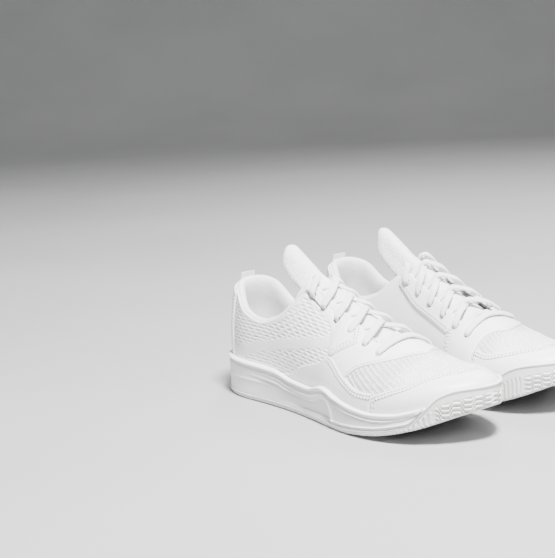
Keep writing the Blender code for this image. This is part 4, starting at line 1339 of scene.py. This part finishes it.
def ribbon(points, direction, normals, half_width, half_thickness):
    """Flat cord swept along a route, its broad side square to the normals."""
    facing = broad_side(direction, normals)
    beside = np.cross(direction, facing)
    length = length_along(points)
    rings, uv = [], []
    for k in range(LACE_SIDES):
        angle = 2 * math.pi * k / LACE_SIDES
        c, s = rounded(math.cos(angle)), rounded(math.sin(angle))
        rings.append(points + beside * (c * half_width)[:, None] + facing * (s * half_thickness)[:, None])
        uv.append(np.column_stack([length, np.full(len(points), c * 3)]))
    faces = [face[::-1] for face in tube_faces(len(points), LACE_SIDES)]
    return np.stack(rings, axis=1).reshape(-1, 3), faces, np.stack(uv, axis=1).reshape(-1, 2)


def build_lace(side):
    """Lace with its two aglets. It is narrower and thicker where it goes through an eyelet."""
    points = smooth_route(lace_route(), 1.0)
    normals = nearest_normals(points)
    direction = unit(np.gradient(points, axis=0))
    through = np.abs(np.sum(direction * normals, axis=1))
    narrow = np.convolve(np.pad(smooth_step(through, 0.3, 0.8), 3, mode="edge"), np.ones(7) / 7, "valid")
    cord, faces, uv = ribbon(points, direction, normals, HALF_WIDTH - 0.75 * narrow,
                             HALF_THICKNESS + 0.35 * narrow)
    made = add_mesh(side, "lace_woven", cord, faces, lace_cloth(), uv, sharp=80)
    finish_piece(made, side, "lace", "lace")
    for name, end, other in (("a", points[0], points[1]), ("b", points[-1], points[-2])):
        build_aglet(side, name, end, unit(end - other))


def build_aglet(side, name, end, axis):
    across = unit(np.cross(axis, (0, 0, 1)))
    other = np.cross(across, axis)
    points = []
    for along, radius in AGLET_STOPS:
        points += circle(end + axis * along, across, other, radius, AGLET_SIDES)
    faces = tube_faces(len(AGLET_STOPS), AGLET_SIDES)
    made = add_mesh(side, f"aglet_{name}", points, faces, aglet_plastic(), sharp=35)
    finish_piece(made, side, "plastic", f"lace_tip_{name}")


# ---------------------------------------------------------------- light, floor and camera

AIM = (-0.0770, -0.0616, 0.0977)
AZIMUTH, ELEVATION, ROLL = 50.42, 10.34, -3.07
DISTANCE, LENS = 1.052, 83.2
FLOOR_NEAR, FLOOR_FAR, FLOOR_HALF_WIDTH = -8.0, 2.6, 9.0
BACKDROP_BEND, BACKDROP_TOP = 1.6, 6.0


def camera_turn(azimuth, elevation, roll):
    a, e, r = (math.radians(v) for v in (azimuth, elevation, roll))
    back = Vector((math.sin(a) * math.cos(e), -math.cos(a) * math.cos(e), math.sin(e)))
    right = Vector((math.cos(a), math.sin(a), 0))
    up = back.cross(right)
    turned_right = right * math.cos(r) + up * math.sin(r)
    turned_up = up * math.cos(r) - right * math.sin(r)
    return back, Matrix((turned_right, turned_up, back)).transposed()


def look_at(thing, aim, distance, *angles):
    """Puts a camera or a lamp at a distance from its aim."""
    back, turn = camera_turn(*angles)
    thing.matrix_world = Matrix.Translation(Vector(aim) + back * distance) @ turn.to_4x4()


def add_camera():
    data = bpy.data.cameras.new("camera")
    data.lens = LENS
    data.sensor_width = 36
    data.clip_end = 20
    made = new_object("camera", data)
    look_at(made, AIM, DISTANCE, AZIMUTH, ELEVATION, ROLL)
    bpy.context.scene.camera = made


def add_floor():
    """Pale floor that turns up into a backdrop far behind the shoes."""
    away = -camera_turn(AZIMUTH, 0, 0)[0]
    beside = Vector((-away.y, away.x, 0))
    section = [(FLOOR_NEAR, 0.0), (FLOOR_FAR, 0.0)]
    for k in range(1, 13):
        angle = math.radians(7.5 * k)
        section.append((FLOOR_FAR + BACKDROP_BEND * math.sin(angle), BACKDROP_BEND * (1 - math.cos(angle))))
    section.append((FLOOR_FAR + BACKDROP_BEND, BACKDROP_TOP))
    points = [away * d + beside * w + Vector((0, 0, z))
              for d, z in section for w in (-FLOOR_HALF_WIDTH, FLOOR_HALF_WIDTH)]
    faces = [(2 * k, 2 * k + 1, 2 * k + 3, 2 * k + 2) for k in range(len(section) - 1)]
    mesh = bpy.data.meshes.new("floor")
    mesh.from_pydata([tuple(p) for p in points], [], faces)
    mesh.shade_smooth()
    tones = (noise(3), (0.33, 0.33, 0.33), (0.36, 0.36, 0.36))
    mesh.materials.append(textured("pale_floor", (0.7, 0.7, 0.7), 0.7, tones, ()))
    new_object("floor", mesh)


def add_light(name, azimuth, elevation, distance, size, power):
    data = bpy.data.lights.new(name, "AREA")
    data.energy = power
    data.shape = "DISK"
    data.size = size
    look_at(new_object(name, data), (0, 0, 0.05), distance, azimuth, elevation, 0)


def add_world():
    world = bpy.data.worlds.new("studio")
    world.use_nodes = True
    background = world.node_tree.nodes["Background"]
    background.inputs["Color"].default_value = (0.9, 0.92, 0.95, 1)
    background.inputs["Strength"].default_value = 0.29
    bpy.context.scene.world = world


# ---------------------------------------------------------------- the whole scene

HIDDEN = {"shank_plate": stiffener, "insole_board": fibre_board, "toe_puff": stiffener,
          "heel_counter": stiffener, "vamp_lining": lining}


def finish_hidden_nodes(side):
    """The inner pieces keep their CAD shapes and get their own materials."""
    for name, surface in HIDDEN.items():
        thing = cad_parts[side.node(name)]
        thing.data.materials.clear()
        thing.data.materials.append(surface())


def build_shoe(side):
    build_outsole(side)
    build_midsole(side)
    build_sockliner(side)
    build_vamp(side)
    sheets = build_quarters(side)
    build_toe_guard(side)
    build_foxing(side)
    sheets += [build_overlay(side)]
    sheets += build_eyestays(side)
    cut_eyelets(side, sheets)
    build_heel(side)
    build_collar(side)
    build_tongue(side)
    build_lace(side)
    finish_hidden_nodes(side)


add_camera()
for shoe in (RIGHT, LEFT):
    build_shoe(shoe)
add_floor()
add_world()
add_light("key", 66, 66, 1.6, 0.4, 155)
add_light("fill", 10, 25, 2.2, 1.0, 7)
add_light("back", 215, 45, 1.8, 0.8, 30)
